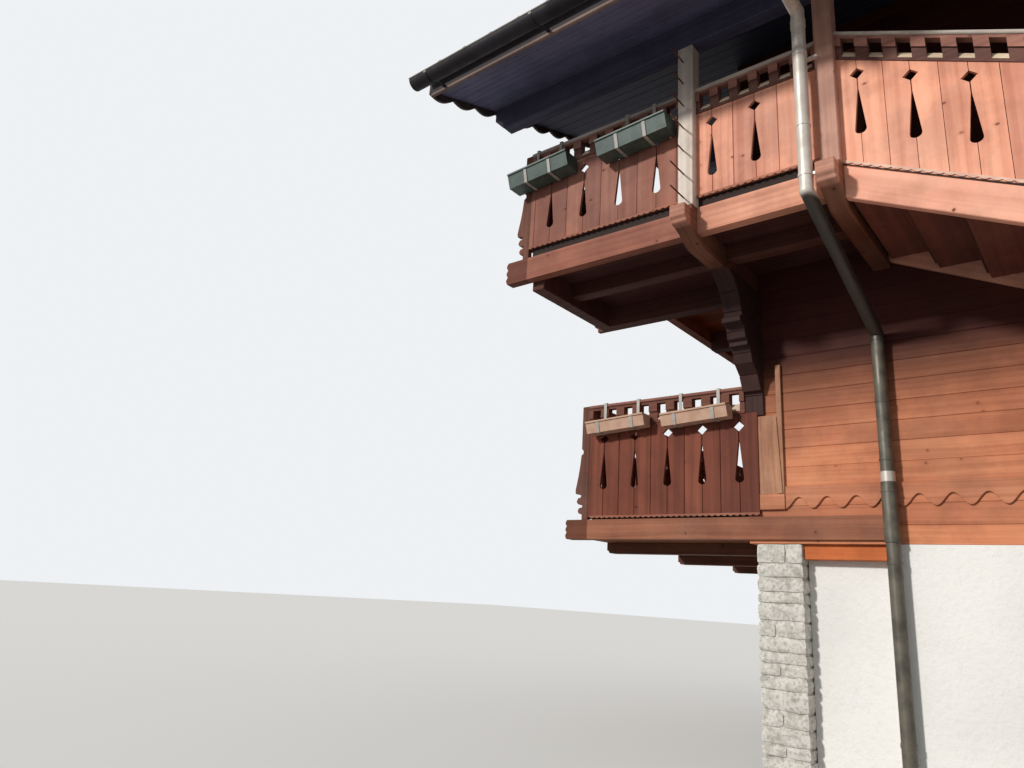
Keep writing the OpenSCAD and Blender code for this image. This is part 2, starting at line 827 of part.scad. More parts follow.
// A strip from height a to height b, with its see-through gaps from c to d
module comb(len, a, b, c, d, slope) {
    n = max(1, round(len / tooth_pitch));
    g = tooth_gap / 2;
    difference() {
        polygon(rake([[0, a], [len, a], [len, b], [0, b]], slope));
        for (i = [0 : n - 1])
            let(u = (i + 0.5) * len / n)
                polygon(rake([[u - g, c], [u + g, c], [u + g, d], [u - g, d]], slope));
    }
}

// A shape in the Y-Z plane, its foot at height z, run down a slope along X and cut off
// upright at both ends; its heights come already shortened by the slope
module raked_run(len, z, slope) {
    a = atan(slope);
    intersection() {
        translate([0, 0, z]) rotate([0, a, 0]) along_x(-band_h, len / cos(a) + band_h) children();
        block([0, -rail_d, z - slope * len - band_h], [len, 2 * rail_d, z + 2 * band_h]);
    }
}

// Toothed band and handrail over a bay along X that faces -Y: a cap with a round nose, a
// recess, two tiers of teeth, and a sloping sill in each gap
module band(len, top, slope = 0) {
    c = cos(atan(slope));
    front = (board_t - rail_d) / 2;
    back = front + rail_d;
    body = front + nose_out + tier_set;
    z1 = top + strip_h;
    z3 = top + band_h - cap_h - groove_h;
    z2 = (z1 + z3) / 2;
    r = cap_h / 2;
    along_y(body, back - nose_out) comb(len, top, top + band_h - cap_h + 1, z1, z3 - 1, slope);
    along_y(front + nose_out, body + 1) comb(len, z2, z3, z2 - 1, z3 + 1, slope);
    raked_run(len, top, slope)
        polygon([[body + 1, (strip_h - 2) * c], [back - nose_out - 1, (strip_h - 2) * c],
            [back - nose_out - 1, (strip_h + sill_rise) * c], [body + 1, (strip_h + 1) * c]]);
    raked_run(len, top, slope)
        polygon(concat([[back, (band_h - cap_h) * c], [back, band_h * c]],
            [for (i = [0 : 6]) [front + r + r * cos(90 + 30 * i),
                (band_h - r + r * sin(90 + 30 * i)) * c]]));
}

// A bay of boards along X, with its outer face at y
module bay_x(x0, x1, y, foot, top, lead = cut_pitch / 2) {
    along_y(y, y + board_t) translate([x0, 0]) boards(x1 - x0, foot, top, 0, lead);
}

// Number of lengths into which uprights part a long bay
function lengths(y0, y1) = max(1, floor((y1 - y0) / stay_pitch));

// A long bay of boards along Y, its outer face at x, on uprights from the floor at z
module bay_y(y0, y1, x, foot, top, z) {
    n = lengths(y0, y1);
    along_x(x, x + board_t) translate([y0, 0]) boards(y1 - y0, foot, top);
    if (n > 1)
        for (i = [1 : n - 1])
            let(y = y0 + i * (y1 - y0) / n)
                block([x + board_t - 1, y - stay_w / 2, z],
                    [x + board_t + stay_w, y + stay_w / 2, top]);
}

// Handrails over a bay: facing -Y, facing +Y, and facing -X
module rail_x(x0, x1, y, top) {
    translate([x0, y, 0]) band(x1 - x0, top);
}

module rail_back(x0, x1, y, top) {
    translate([x1, y, 0]) rotate([0, 0, 180]) band(x1 - x0, top);
}

module rail_y(y0, y1, x, top) {
    translate([x, y1, 0]) rotate([0, 0, -90]) band(y1 - y0, top);
}

// Room between the outer face of a bay and a rail that butts on its handrail
rail_in = (board_t + rail_d) / 2 + seat;

module side_balustrade() {
    color(sunlit) {
        bay_x(wing_x, post_x1, front_y, board_z, board_top, wing_lead);
        bay_x(post_x1 + post_w, post_x2, front_y, board_z, board_top, post_lead);
        bay_y(front_y + board_t, back_y - board_t, wing_x, board_z, board_top, up_z);
        bay_x(wing_x, up_x + board_t, back_y - board_t, board_z, board_top);
    }
}

module gallery_balustrade_up() {
    color(sunlit) {
        bay_y(back_y, hy - board_t, up_x, board_z, board_top, edge_top);
        bay_x(up_x, -hx, hy - board_t, board_z, board_top);
    }
}

module handrails_up() {
    color(sunlit) {
        rail_x(wing_x, post_x1, front_y, board_top);
        rail_x(post_x1 + post_w, post_x2, front_y, board_top);
        rail_y(front_y + rail_in, back_y - rail_in, wing_x, board_top);
        rail_back(wing_x, up_x + board_t - rail_in, back_y, board_top);
        rail_y(back_y - rail_in + seat, hy - rail_in, up_x, board_top);
        rail_back(up_x, -hx, hy, board_top);
    }
}

// A foot rail behind a bay along X, from y inwards
module foot_rail_x(x0, x1, y, z, foot) {
    block([x0, y, z], [x1, y + sole_t, foot + sole_lap]);
}

// Foot rails behind a long bay along Y, let in between its uprights
module foot_rail_y(y0, y1, x, z, foot) {
    n = lengths(y0, y1);
    step = (y1 - y0) / n;
    for (i = [0 : n - 1])
        block([x + board_t, y0 + i * step + (i > 0 ? stay_w / 2 : sole_t), z],
            [x + board_t + sole_t, y0 + (i + 1) * step - (i < n - 1 ? stay_w / 2 : sole_t),
                foot + sole_lap]);
}

// Level rails that stand on the beams and close the gap behind the foot of the boards
module foot_rails() {
    color(shaded) {
        foot_rail_x(wing_x + board_t, post_x1, front_y + board_t, edge_top, board_z);
        foot_rail_x(post_x1 + post_w, post_x2, front_y + board_t, edge_top, board_z);
        foot_rail_y(front_y + edge_t - sole_t, back_y - board_t, wing_x, up_z, board_z);
        foot_rail_x(wing_x + board_t, up_x + board_t, back_y - board_t - sole_t, up_z, board_z);
        foot_rail_y(back_y, hy - board_t, up_x, edge_top, board_z);
        foot_rail_x(up_x + board_t, -hx, hy - board_t - sole_t, edge_top, board_z);
        foot_rail_x(low_x + board_t, -hx, -hy, low_edge_top, low_board_z);
        foot_rail_y(-hy, hy - board_t, low_x, low_edge_top, low_board_z);
        foot_rail_x(low_x + board_t, -hx, hy - board_t - sole_t, low_edge_top, low_board_z);
    }
}

// Joists of the lower gallery, with rounded ends under the edge beam
module gallery_joists_low() {
    foot = low_edge_z - joist_h / 2;
    n = floor((2 * hy - 600) / low_joist_pitch);
    color(shaded)
        for (i = [0 : n])
            let(y = -hy + 400 + i * low_joist_pitch) {
                difference() {
                    block([low_x, y - post_w / 2, foot], [-hx, y + post_w / 2, low_edge_z]);
                    along_y(y - post_w, y + post_w)
                        translate([low_x, foot]) circle(joist_h / 8);
                }
                block([-hx - 1, y - post_w / 2, foot], [-mx, y + post_w / 2, masonry_h]);
            }
}

module edge_beams_low() {
    h = low_edge_top - low_edge_z;
    color(sunlit) {
        along_y(-hy - 30, -hy + edge_t)
            union() {
                translate([low_x, low_edge_z]) square([-hx - low_x, h]);
                lobed_end(low_x, low_edge_z, h);
            }
        block([-hx, -hy - 30, low_edge_z], [pipe_x + 80 - pipe_r, -hy, low_edge_top]);
        block([low_x, -hy + edge_t, low_edge_z], [low_x + edge_t, hy - edge_t, low_edge_top]);
        block([low_x, hy - edge_t, low_edge_z], [-hx, hy, low_edge_top]);
    }
}

module deck_low() {
    color(shaded)
        block([low_x + edge_t, -hy + edge_t, low_edge_z], [-hx, hy - edge_t, low_z]);
}

module gallery_balustrade_low() {
    color(sunlit) {
        bay_x(low_x, pilaster_x - 2, -hy - board_t, low_board_z, low_board_top);
        bay_y(-hy, hy - board_t, low_x, low_board_z, low_board_top, low_edge_top);
        bay_x(low_x, -hx, hy - board_t, low_board_z, low_board_top);
    }
}

module handrails_low() {
    color(sunlit) {
        rail_x(low_x, -hx, -hy - board_t, low_board_top);
        rail_y(-hy - board_t + rail_in, hy - rail_in, low_x, low_board_top);
        rail_back(low_x, -hx, hy, low_board_top);
    }
}

// A trim board from x0 to x1 on a wall face at y = 0, its lower edge cut in scallops
module wave_run(x0, x1) {
    n = floor((x1 - x0) / wave_pitch * 6);
    mid = low_z + trim_foot + wave_h / 2;
    along_y(-trim_t, 0)
        polygon(concat([[x1, low_z + trim_top], [x0, low_z + trim_top]],
            [for (i = [0 : n]) [x0 + i * wave_pitch / 6, mid - wave_h / 2 * cos(60 * i)]],
            [[x1, low_z + trim_foot]]));
}

// Trim boards on the front and the far gable, and the foot block under the pilaster
module wave_trims() {
    color(timber) {
        on_side(0) wave_run(trim_x, trim_end);
        on_side(0) wave_run(landing_x + landing_len + 80, hx);
        on_side(1) wave_run(-hy + trim_t, hy);
        block([pilaster_x, -hy - 30, low_z + trim_foot - 5], [trim_x, -hy, low_z + 194]);
    }
}

// Boards nailed over the log ends: a wide one, a narrow strip and a tapered facet over both
module corner_pilaster() {
    z = low_z + 194;
    strip = trim_x - 42;
    color(timber) {
        along_y(-hy - 22, -hy) translate([pilaster_x, z]) square([strip - pilaster_x, pilaster_h]);
        along_y(-hy - 30, -hy) translate([strip, z]) square([trim_x - strip, strip_up]);
        along_y(-hy - 40, -hy)
            polygon([[strip - 80, z + pilaster_h - 20], [strip, z + pilaster_h - 20],
                [strip + 32, z], [strip - 11, z]]);
    }
}

module niche_board() {
    color([0.78, 0.44, 0.26])
        block([-mx + masonry_t, -hy + niche_d - head_d, masonry_h - head_h],
            [-mx + masonry_t + niche_w, -hy + niche_d, masonry_h]);
}

// A raking string from x0 to x1 under a nosing line that starts at height z0
module string(x0, x1, z0, slope, y) {
    along_y(y, y + string_t)
        intersection() {
            polygon([[x0, z0 + string_up], [x1, z0 + string_up - slope * (x1 - x0)],
                [x1, z0 + string_up - string_h - slope * (x1 - x0)],
                [x0, z0 + string_up - string_h]]);
            translate([x0, 0]) square([x1 - x0, up_z + 200]);
        }
}

module stair_strings() {
    x1 = landing_x + landing_len;
    color(sunlit)
        for (y = [front_y, inner_y]) {
            string(string_x, landing_x, up_z + slope_up * riser_t, slope_up, y);
            string(x1, foot_x, low_z, slope_low, y);
        }
}

// Treads from the top down: the first lies one rise under the start
module treads(x0, z0, rise, count) {
    for (i = [1 : count - 1])
        block([x0 + (i - 1) * going, step_y, z0 - i * rise - tread_t],
            [x0 + i * going + nosing, inner_y, z0 - i * rise]);
}

module stair_treads_up() {
    color(timber) treads(stair_x, up_z, rise_up, risers_up);
}

module stair_treads_low() {
    color(timber) difference() {
        treads(landing_x + landing_len, low_z, rise_low, risers_low);
        block([foot_x, step_y - 1, 0], [foot_x + post_w, front_y - 20 + post_w, up_z]);
    }
}

// Risers stand on the back edge of a tread, under the nosing of the next
module risers(x0, z0, rise, count) {
    for (i = [1 : count])
        block([x0 + (i - 1) * going - riser_t, step_y, z0 - i * rise],
            [x0 + (i - 1) * going, inner_y, z0 - (i - 1) * rise - (i == 1 ? deck_t : tread_t)]);
}

module stair_risers() {
    color(shaded) {
        risers(stair_x, up_z, rise_up, risers_up);
        risers(landing_x + landing_len, low_z, rise_low, risers_low);
    }
}

module landing() {
    x1 = landing_x + landing_len;
    color(timber)
        difference() {
            union() {
                block([landing_x, front_y, low_z - deck_t], [x1, -hy, low_z]);
                block([landing_x, front_y, low_z - deck_t - joist_h],
                    [x1 - riser_t, front_y + edge_t, low_z]);
                block([landing_x, -hy - edge_t, low_z - deck_t - joist_h],
                    [x1 - riser_t, -hy, low_z]);
            }
            for (x = [landing_x, x1 - post_w])
                block([x - 1, post_y, 0], [x + post_w, post_y + post_w, up_z]);
        }
}

module stair_bay(x0, x1, z0, slope) {
    along_y(front_y, front_y + board_t)
        translate([x0, 0])
            boards(x1 - x0, z0 + string_up, z0 + rail_h - band_h, slope, post_lead);
}

module stair_balustrade() {
    x1 = landing_x + landing_len;
    color(sunlit) {
        stair_bay(string_x, landing_x, up_z + slope_up * riser_t, slope_up);
        bay_x(landing_x + post_w, x1 - post_w, front_y, low_board_z, low_board_top);
        stair_bay(x1, foot_x, low_z, slope_low);
    }
}

module stair_rail(x0, x1, z0, slope) {
    translate([x0, front_y, 0]) band(x1 - x0, z0 + rail_h - band_h, slope);
}

module stair_handrails() {
    x1 = landing_x + landing_len;
    color(sunlit) {
        stair_rail(string_x, landing_x, up_z + slope_up * riser_t, slope_up);
        rail_x(landing_x + post_w, x1 - post_w, front_y, low_board_top);
        stair_rail(x1, foot_x, low_z, slope_low);
    }
}

// A frame drawn in the X-Z plane with its outer face at y = reveal
module frame(w, h) {
    along_y(reveal, reveal + frame_d)
        difference() {
            translate([-w / 2, 0]) square([w, h]);
            translate([-w / 2 + frame_w, frame_w]) square([w - 2 * frame_w, h - 2 * frame_w]);
        }
    along_y(reveal, reveal + bar_d) {
        translate([-frame_w / 2, frame_w / 2]) square([frame_w, h - frame_w]);
        translate([-w / 2 + frame_w / 2, h * 0.62]) square([w - frame_w, frame_w / 2]);
    }
}

module pane(w, h) {
    y = reveal + bar_d;
    block([-w / 2 + frame_w, y, frame_w], [w / 2 - frame_w, y + pane_t, h - frame_w]);
}

// Repeats a piece at each opening of a list, with its foot at height z
module at_spots(spots, z, half_x = hx) {
    for (spot = spots)
        on_side(spot[0], half_x) translate([spot[1], 0, z]) children();
}

module window_frames() {
    color([0.45, 0.27, 0.20]) {
        at_spots(windows_low, low_z + sill_h) frame(window_w, window_h);
        at_spots(windows_up, up_z + sill_h) frame(window_w, window_h);
        at_spots(windows_cellar, masonry_h - 2 * cellar_window_h, mx)
            frame(window_w, cellar_window_h);
    }
}

module window_glass() {
    color([0.35, 0.42, 0.45, 0.5]) {
        at_spots(windows_low, low_z + sill_h) pane(window_w, window_h);
        at_spots(windows_up, up_z + sill_h) pane(window_w, window_h);
        at_spots(windows_cellar, masonry_h - 2 * cellar_window_h, mx)
            pane(window_w, cellar_window_h);
    }
}

module leaf() {
    block([-door_w / 2, reveal, 0], [door_w / 2, reveal + leaf_t, door_h]);
}

module doors() {
    color([0.40, 0.24, 0.18]) {
        at_spots(doors_low, low_z) leaf();
        at_spots(doors_up, up_z) leaf();
        at_spots(doors_cellar, 0, mx) leaf();
    }
}

// A strap that hangs a box on a handrail h over its foot: over the cap, down behind the
// box, under it and up its front; the foot of the box lies at height z there
module strap(d, rim, h, z) {
    t = strap_t;
    f = rim * 0.85;
    along_x(-strap_w / 2, strap_w / 2)
        polygon([[rail_d, h - 40], [rail_d + t, h - 40], [rail_d + t, h + t], [-t, h + t],
            [-t, z + 3], [2 - t - 0.8 * d, z + 3], [2 - t - 0.97 * d, z + f], [-2 * t - 0.97 * d, z + f],
            [-2 * t - 0.8 * d, z - t], [0, z - t], [0, h], [rail_d, h]]);
}

// A box with a lip round its front rim, earth to just under the rim, hung on two straps
module trough(len, d, rim, h, spread) {
    rotate([0, -box_lean, 0]) translate([0, 1 - strap_t, 0])
        difference() {
            along_x(-len / 2, len / 2)
                polygon([[0, 0], [0, rim], [-d - 8, rim], [-d - 8, rim - 15],
                    [-0.98 * d, rim - 15], [-0.8 * d, 0]]);
            block([-len / 2 + 12, -d + 14, rim - 25], [len / 2 - 12, -12, rim + 1]);
        }
    for (x = [-spread * len, spread * len])
        translate([x, 0, 0]) strap(d, rim, h, x * tan(box_lean));
}

module flower_boxes_up() {
    nose_y = (rail_d - board_t) / 2;
    color([0.20, 0.30, 0.27]) {
        for (x = [wing_x + 205, post_x1 - 40 - box_len / 2])
            translate([x, front_y - nose_y, up_z + box_z])
                trough(box_len, box_d, box_h, rail_h - box_z, 0.2);
        translate([wing_x - nose_y, (front_y + back_y) / 2, up_z + box_z])
            rotate([0, 0, -90]) trough(box_len, box_d, box_h, rail_h - box_z, 0.2);
    }
}

module flower_boxes_low() {
    color([0.72, 0.56, 0.46])
        for (x = [low_x + 370, low_x + 1170])
            translate([x, -hy - board_t - (rail_d - board_t) / 2, low_z + low_box_z])
                trough(low_box_len, low_box_d, low_box_h, rail_h - low_box_z, 0.29);
}

cellar_long_walls();
cellar_end_walls();
corner_piers();
front_wall_low();
back_wall_low();
west_wall_low();
east_wall_low();
front_wall_up();
back_wall_up();
west_gable();
east_gable();
floor_low();
floor_up();
roof_deck_front();
roof_deck_back();
roof_cover_front();
roof_cover_back();
ridge_cap();
bargeboards();
fascias();
gutters();
downpipes();
purlins();
eave_consoles();
corner_console();
cantilever_beams();
gallery_joists_up();
edge_beams_up();
deck_up();
roof_posts();
corner_posts();
side_balustrade();
gallery_balustrade_up();
handrails_up();
gallery_joists_low();
edge_beams_low();
deck_low();
gallery_balustrade_low();
handrails_low();
foot_rails();
post_pegs();
wave_trims();
corner_pilaster();
niche_board();
stair_strings();
stair_treads_up();
stair_treads_low();
stair_risers();
landing();
stair_balustrade();
stair_handrails();
window_frames();
window_glass();
doors();
flower_boxes_up();
flower_boxes_low();
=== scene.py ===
import math
import random

import bmesh
import bpy
from mathutils import Matrix, Vector, noise


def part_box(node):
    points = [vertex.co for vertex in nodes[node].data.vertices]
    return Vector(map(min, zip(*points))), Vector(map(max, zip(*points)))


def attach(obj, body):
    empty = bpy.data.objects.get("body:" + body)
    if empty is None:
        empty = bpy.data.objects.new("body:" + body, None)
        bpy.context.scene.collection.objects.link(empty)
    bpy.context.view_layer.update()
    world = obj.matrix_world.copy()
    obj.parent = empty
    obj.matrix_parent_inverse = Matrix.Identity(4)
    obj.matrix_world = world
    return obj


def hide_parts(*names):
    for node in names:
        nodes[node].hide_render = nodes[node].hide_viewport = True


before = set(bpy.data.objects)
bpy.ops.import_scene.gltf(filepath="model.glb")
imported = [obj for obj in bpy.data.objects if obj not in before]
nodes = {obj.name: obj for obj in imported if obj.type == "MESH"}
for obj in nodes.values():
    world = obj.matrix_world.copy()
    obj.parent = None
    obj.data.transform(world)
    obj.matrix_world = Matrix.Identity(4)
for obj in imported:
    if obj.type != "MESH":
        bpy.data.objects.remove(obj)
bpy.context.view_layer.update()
random.seed(11)


# Viewpoint: the eye stands 1.6 m over the ground, 6 m in front of the eave wall, and
# looks up at the corner where the balcony turns into the galleries of the gable.
EYE = (-3.33, -10.5, 1.6)
FILM = 36.0
LENS = 25.99
RIGHT = Vector((0.7734, 0.6308, 0.0624)).normalized()
BACK = Vector((0.6209, -0.7339, -0.2755)).normalized()
UP = BACK.cross(RIGHT).normalized()
eye = bpy.data.objects.new("eye", bpy.data.cameras.new("eye"))
eye.data.sensor_width = FILM
eye.data.lens = LENS
eye.matrix_world = Matrix.Translation(EYE) @ Matrix((RIGHT, UP, BACK)).transposed().to_4x4()
bpy.context.scene.collection.objects.link(eye)
bpy.context.scene.camera = eye


# Rendered masonry: a storey of rubble walls with a thrown lime render, left rough
# and limewashed white. Rain splashing off the ground has stained its foot.
X, Y, Z = 0, 1, 2
SPLASH_TOP = 0.55


class Wire:
    """A socket in a finish; + - * / and ** on wires of numbers add Math nodes."""

    def __init__(self, tree, socket):
        self.tree, self.socket = tree, socket

    def node(self, kind, settings=None, sockets=None, out=0):
        made = self.tree.nodes.new("ShaderNode" + kind)
        for key, value in (settings or {}).items():
            setattr(made, key, value)
        for key, value in (sockets or {}).items():
            if isinstance(value, Wire):
                self.tree.links.new(value.socket, made.inputs[key])
            else:
                made.inputs[key].default_value = value
        return Wire(self.tree, made.outputs[out])

    def math(self, operation, a, b):
        return self.node("Math", {"operation": operation}, {0: a, 1: b})

    def __add__(self, other):
        return self.math("ADD", self, other)

    def __sub__(self, other):
        return self.math("SUBTRACT", self, other)

    def __rsub__(self, other):
        return self.math("SUBTRACT", other, self)

    def __mul__(self, other):
        return self.math("MULTIPLY", self, other)

    def __truediv__(self, other):
        return self.math("DIVIDE", self, other)

    def __rtruediv__(self, other):
        return self.math("DIVIDE", other, self)

    def __pow__(self, other):
        return self.math("POWER", self, other)

    def __rpow__(self, other):
        return self.math("POWER", other, self)

    __radd__, __rmul__ = __add__, __mul__

    def step(self, low, high):
        """0 below low, 1 above high, smooth between."""
        return self.node("MapRange", {"interpolation_type": "SMOOTHSTEP"},
                         {"Value": self, "From Min": low, "From Max": high})

    def noise(self, scale, detail=3.0, rough=0.5):
        return self.node("TexNoise", None, {"Vector": self, "Scale": scale,
                                            "Detail": detail, "Roughness": rough})

    def stretched(self, size):
        return self.node("Mapping", None, {"Vector": self, "Scale": size})

    def part(self, axis):
        """One coordinate, X, Y or Z, of a wire of places."""
        return self.node("SeparateXYZ", None, {"Vector": self}, out=axis)


def blend_tints(share, low, high, how="MIX"):
    """A colour between low and high, by a wire or number from 0 to 1."""
    wire = next(w for w in (share, low, high) if isinstance(w, Wire))
    tints = {6: low, 7: high}
    tints = {k: v if isinstance(v, Wire) else (*v, 1.0) for k, v in tints.items()}
    return wire.node("Mix", {"data_type": "RGBA", "blend_type": how}, {0: share, **tints}, out=2)


def finish(name, rough, metal=0.0):
    """A new material; gives its shader and a wire of Object coordinates in metres."""
    made = bpy.data.materials.new(name)
    made.use_nodes = True
    shader = made.node_tree.nodes["Principled BSDF"]
    shader.inputs["Roughness"].default_value = rough
    shader.inputs["Metallic"].default_value = metal
    return made, shader, Wire(made.node_tree, None).node("TexCoord", out=3)


def plug(shader, wire, socket="Base Color"):
    wire.tree.links.new(wire.socket, shader.inputs[socket])


def relief(shader, height, depth):
    """Bump of a given depth in metres from a height wire."""
    plug(shader, height.node("Bump", None, {"Height": height, "Distance": depth,
                                            "Strength": 1.0}), "Normal")


def srgb(red, green, blue):
    """A colour written as 0 to 255, in the shader's linear numbers."""
    def linear(value):
        value /= 255.0
        return value / 12.92 if value <= 0.04045 else ((value + 0.055) / 1.055) ** 2.4
    return linear(red), linear(green), linear(blue)


def coat(piece, made):
    piece.data.materials.clear()
    piece.data.materials.append(made)


lime, shader, place = finish("lime_render", 0.92)
lumps = place.noise(24.0, 4.0, 0.6)
grit = place.noise(110.0, 3.0, 0.7)
patches = place.noise(0.9, 4.0).step(0.35, 0.7)
splash = (1 - place.part(Z).step(0.0, SPLASH_TOP)) * place.noise(7.0, 5.0).step(0.35, 0.65)
washed = blend_tints(patches, srgb(240, 239, 236), srgb(228, 227, 224))
washed = blend_tints((1 - lumps.step(0.3, 0.5)) * 0.12, washed, srgb(200, 198, 194))
plug(shader, blend_tints(splash * 0.55, washed, srgb(196, 190, 178)))
relief(shader, lumps * 0.7 + grit * 0.3, 0.009)
for name in ("cellar_long_walls", "cellar_end_walls"):
    coat(nodes[name], lime)


# Corner piers: split stone laid in low courses, each stone through or in two,
# pointed flush with pale mortar and washed over with lime.
PIER = 0.37
CORE = 0.014
COURSE = (0.085, 0.145)
LEAST_COURSE = 0.08
SPLIT = (0.36, 0.64)
BED = 0.005
ON_SKIN = 0.9
LUMP = 0.010
LUMPS = 16
WEAR = 0.007


def place_mesh(bm, name, made, replaced=(), smooth=0.0):
    """The finished bmesh becomes a piece that rides on the house. Edges that turn less
    than smooth degrees shade as one round face."""
    for f in bm.faces:
        f.smooth = smooth > 0
    if smooth:
        for e in bm.edges:
            e.smooth = len(e.link_faces) == 2 and e.calc_face_angle(0) < math.radians(smooth)
    mesh = bpy.data.meshes.new(name)
    bm.to_mesh(mesh)
    bm.free()
    piece = bpy.data.objects.new(name, mesh)
    bpy.context.scene.collection.objects.link(piece)
    mesh.materials.append(made)
    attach(piece, "root")
    if replaced:
        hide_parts(*replaced)
    return piece


def block(bm, low, high):
    """An upright box between two corners; gives its new vertices."""
    low, high = Vector(low), Vector(high)
    size = Matrix.Diagonal((*(high - low), 1.0))
    return bmesh.ops.create_cube(
        bm, size=1.0, matrix=Matrix.Translation((low + high) / 2) @ size)["verts"]


def stone(bm, low, high, mark):
    """One split stone: a box with worn edges and a lumpy face."""
    before = len(bm.verts)
    edges = {e for v in block(bm, low, high) for e in v.link_edges}
    bmesh.ops.subdivide_edges(bm, edges=list(edges), cuts=4, use_grid_fill=True)
    bm.verts.ensure_lookup_table()
    centre = (Vector(low) + Vector(high)) / 2
    half = (Vector(high) - Vector(low)) / 2
    for v in bm.verts[before:]:
        out = v.co - centre
        share = [out[i] / half[i] for i in range(3)]
        skin = Vector([s if abs(s) > ON_SKIN else 0.0 for s in share])
        worn = max(0, sum(s != 0 for s in skin) - 1)
        push = LUMP * noise.noise(v.co * LUMPS + Vector((mark, 0, 0))) - WEAR * worn
        if skin.length:
            v.co += skin.normalized() * push


stone_wash, shader, place = finish("washed_stone", 0.9)
grain = place.noise(38.0, 5.0, 0.65)
cloud = place.noise(4.0, 3.0).step(0.3, 0.7)
wash = place.noise(12.0, 5.0, 0.6).step(0.36, 0.58)
tint = blend_tints(cloud, srgb(172, 168, 160), srgb(200, 196, 188))
tint = blend_tints(wash * 0.7, tint, srgb(224, 221, 214))
plug(shader, blend_tints((1 - grain.step(0.3, 0.55)) * 0.6, tint, srgb(122, 117, 108)))
relief(shader, grain * 0.6 + place.noise(90.0, 2.0) * 0.4, 0.008)

bm = bmesh.new()
low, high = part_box("corner_piers")
for x0 in (low.x, high.x - PIER):
    for y0 in (low.y, high.y - PIER):
        block(bm, (x0 + CORE, y0 + CORE, 0.0), (x0 + PIER - CORE, y0 + PIER - CORE, high.z))
        z, seam = 0.0, None
        while z < high.z:
            rise = random.uniform(*COURSE)
            top = high.z if z + rise > high.z - LEAST_COURSE else z + rise
            seam = random.choice([way for way in (None, X, Y) if way != seam])
            split = random.uniform(*SPLIT) * PIER
            start, end = [x0, y0], [x0 + PIER, y0 + PIER]
            parts = [(start, end)]
            if seam is not None:
                near, far = end[:], start[:]
                near[seam], far[seam] = start[seam] + split - BED, start[seam] + split + BED
                parts = [(start, near), (far, end)]
            for a, b in parts:
                stone(bm, (*a, z + BED * (z > 0)), (*b, top - BED * (top < high.z)),
                      random.uniform(0, 99))
            z = top
for v in bm.verts:
    v.co.z = max(v.co.z, 0.0)
place_mesh(bm, "corner_stones", stone_wash, ["corner_piers"], smooth=50)


# Log walls: squared softwood laid course on course, each log planed with an eased edge so
# the wall shows a fine joint at every course, and stained reddish brown. Under and behind
# the balcony the front wall carries painted shade, near black up to the eaves; the other
# walls are painted darker towards the eaves, painted shade under them.
ON_CUT = 2e-5
IN_PLANE = 0.999
FLAT = 1.5
SHARP = 30.0
END_ON = 0.8
MAP_REACH = 50


def merged(names):
    """One bmesh of several CAD nodes, its corners joined."""
    bm = bmesh.new()
    for name in names:
        bm.from_mesh(nodes[name].data)
    bmesh.ops.remove_doubles(bm, verts=bm.verts, dist=1e-5)
    return bm


def close_rims(bm):
    """Closes every open rim with a face."""
    rims = [e for e in bm.edges if len(e.link_faces) == 1]
    bmesh.ops.holes_fill(bm, edges=rims, sides=0)


def cut(bm, axis, stations, gap=0.0):
    """Saws a bmesh across an axis at each station and closes both ends, gap apart."""
    normal = Vector([float(i == axis) for i in range(3)])
    for station in stations:
        bmesh.ops.bisect_plane(bm, geom=bm.verts[:] + bm.edges[:] + bm.faces[:],
                               dist=1e-6, plane_co=normal * station, plane_no=normal)
        on_cut = [e for e in bm.edges
                  if all(abs(v.co[axis] - station) < ON_CUT for v in e.verts)
                  and len(e.link_faces) == 2
                  and all(abs(f.normal[axis]) < IN_PLANE for f in e.link_faces)]
        bmesh.ops.split_edges(bm, edges=on_cut)
        close_rims(bm)
        if gap:
            for v in bm.verts:
                if abs(v.co[axis] - station) < ON_CUT:
                    side = max((e.other_vert(v).co[axis] - station for e in v.link_edges),
                               key=abs, default=0)
                    v.co[axis] += math.copysign(gap / 2, side)


def flatten(bm, turn):
    """Merges the faces that turn by less than this many degrees."""
    bmesh.ops.dissolve_limit(bm, angle_limit=math.radians(turn), verts=bm.verts,
                             edges=bm.edges, use_dissolve_boundaries=False)


def ease(bm, arris):
    """Merges flat faces and takes the sharp edges off by the arris."""
    flatten(bm, FLAT)
    bm.normal_update()
    sharp = [e for e in bm.edges if len(e.link_faces) == 2
             and e.calc_face_angle(0) > math.radians(SHARP)]
    bmesh.ops.bevel(bm, geom=sharp, offset=arris, offset_type="OFFSET", segments=1,
                    profile=0.5, affect="EDGES", clamp_overlap=True, material=-1)


def islands(bm):
    """The separate timbers of a bmesh, as lists of faces."""
    seen, found = set(), []
    for start in bm.faces:
        if start in seen:
            continue
        heap, part = [start], []
        seen.add(start)
        while heap:
            face = heap.pop()
            part.append(face)
            for edge in face.edges:
                for other in edge.link_faces:
                    if other not in seen:
                        seen.add(other)
                        heap.append(other)
        found.append(part)
    return found


def extent(part):
    """The low and the high corner of a timber, and the level axis along which it runs."""
    points = [v.co for f in part for v in f.verts]
    low, high = (Vector([pick(p[i] for p in points) for i in range(3)]) for pick in (min, max))
    return low, high, X if high.x - low.x > high.y - low.y else Y


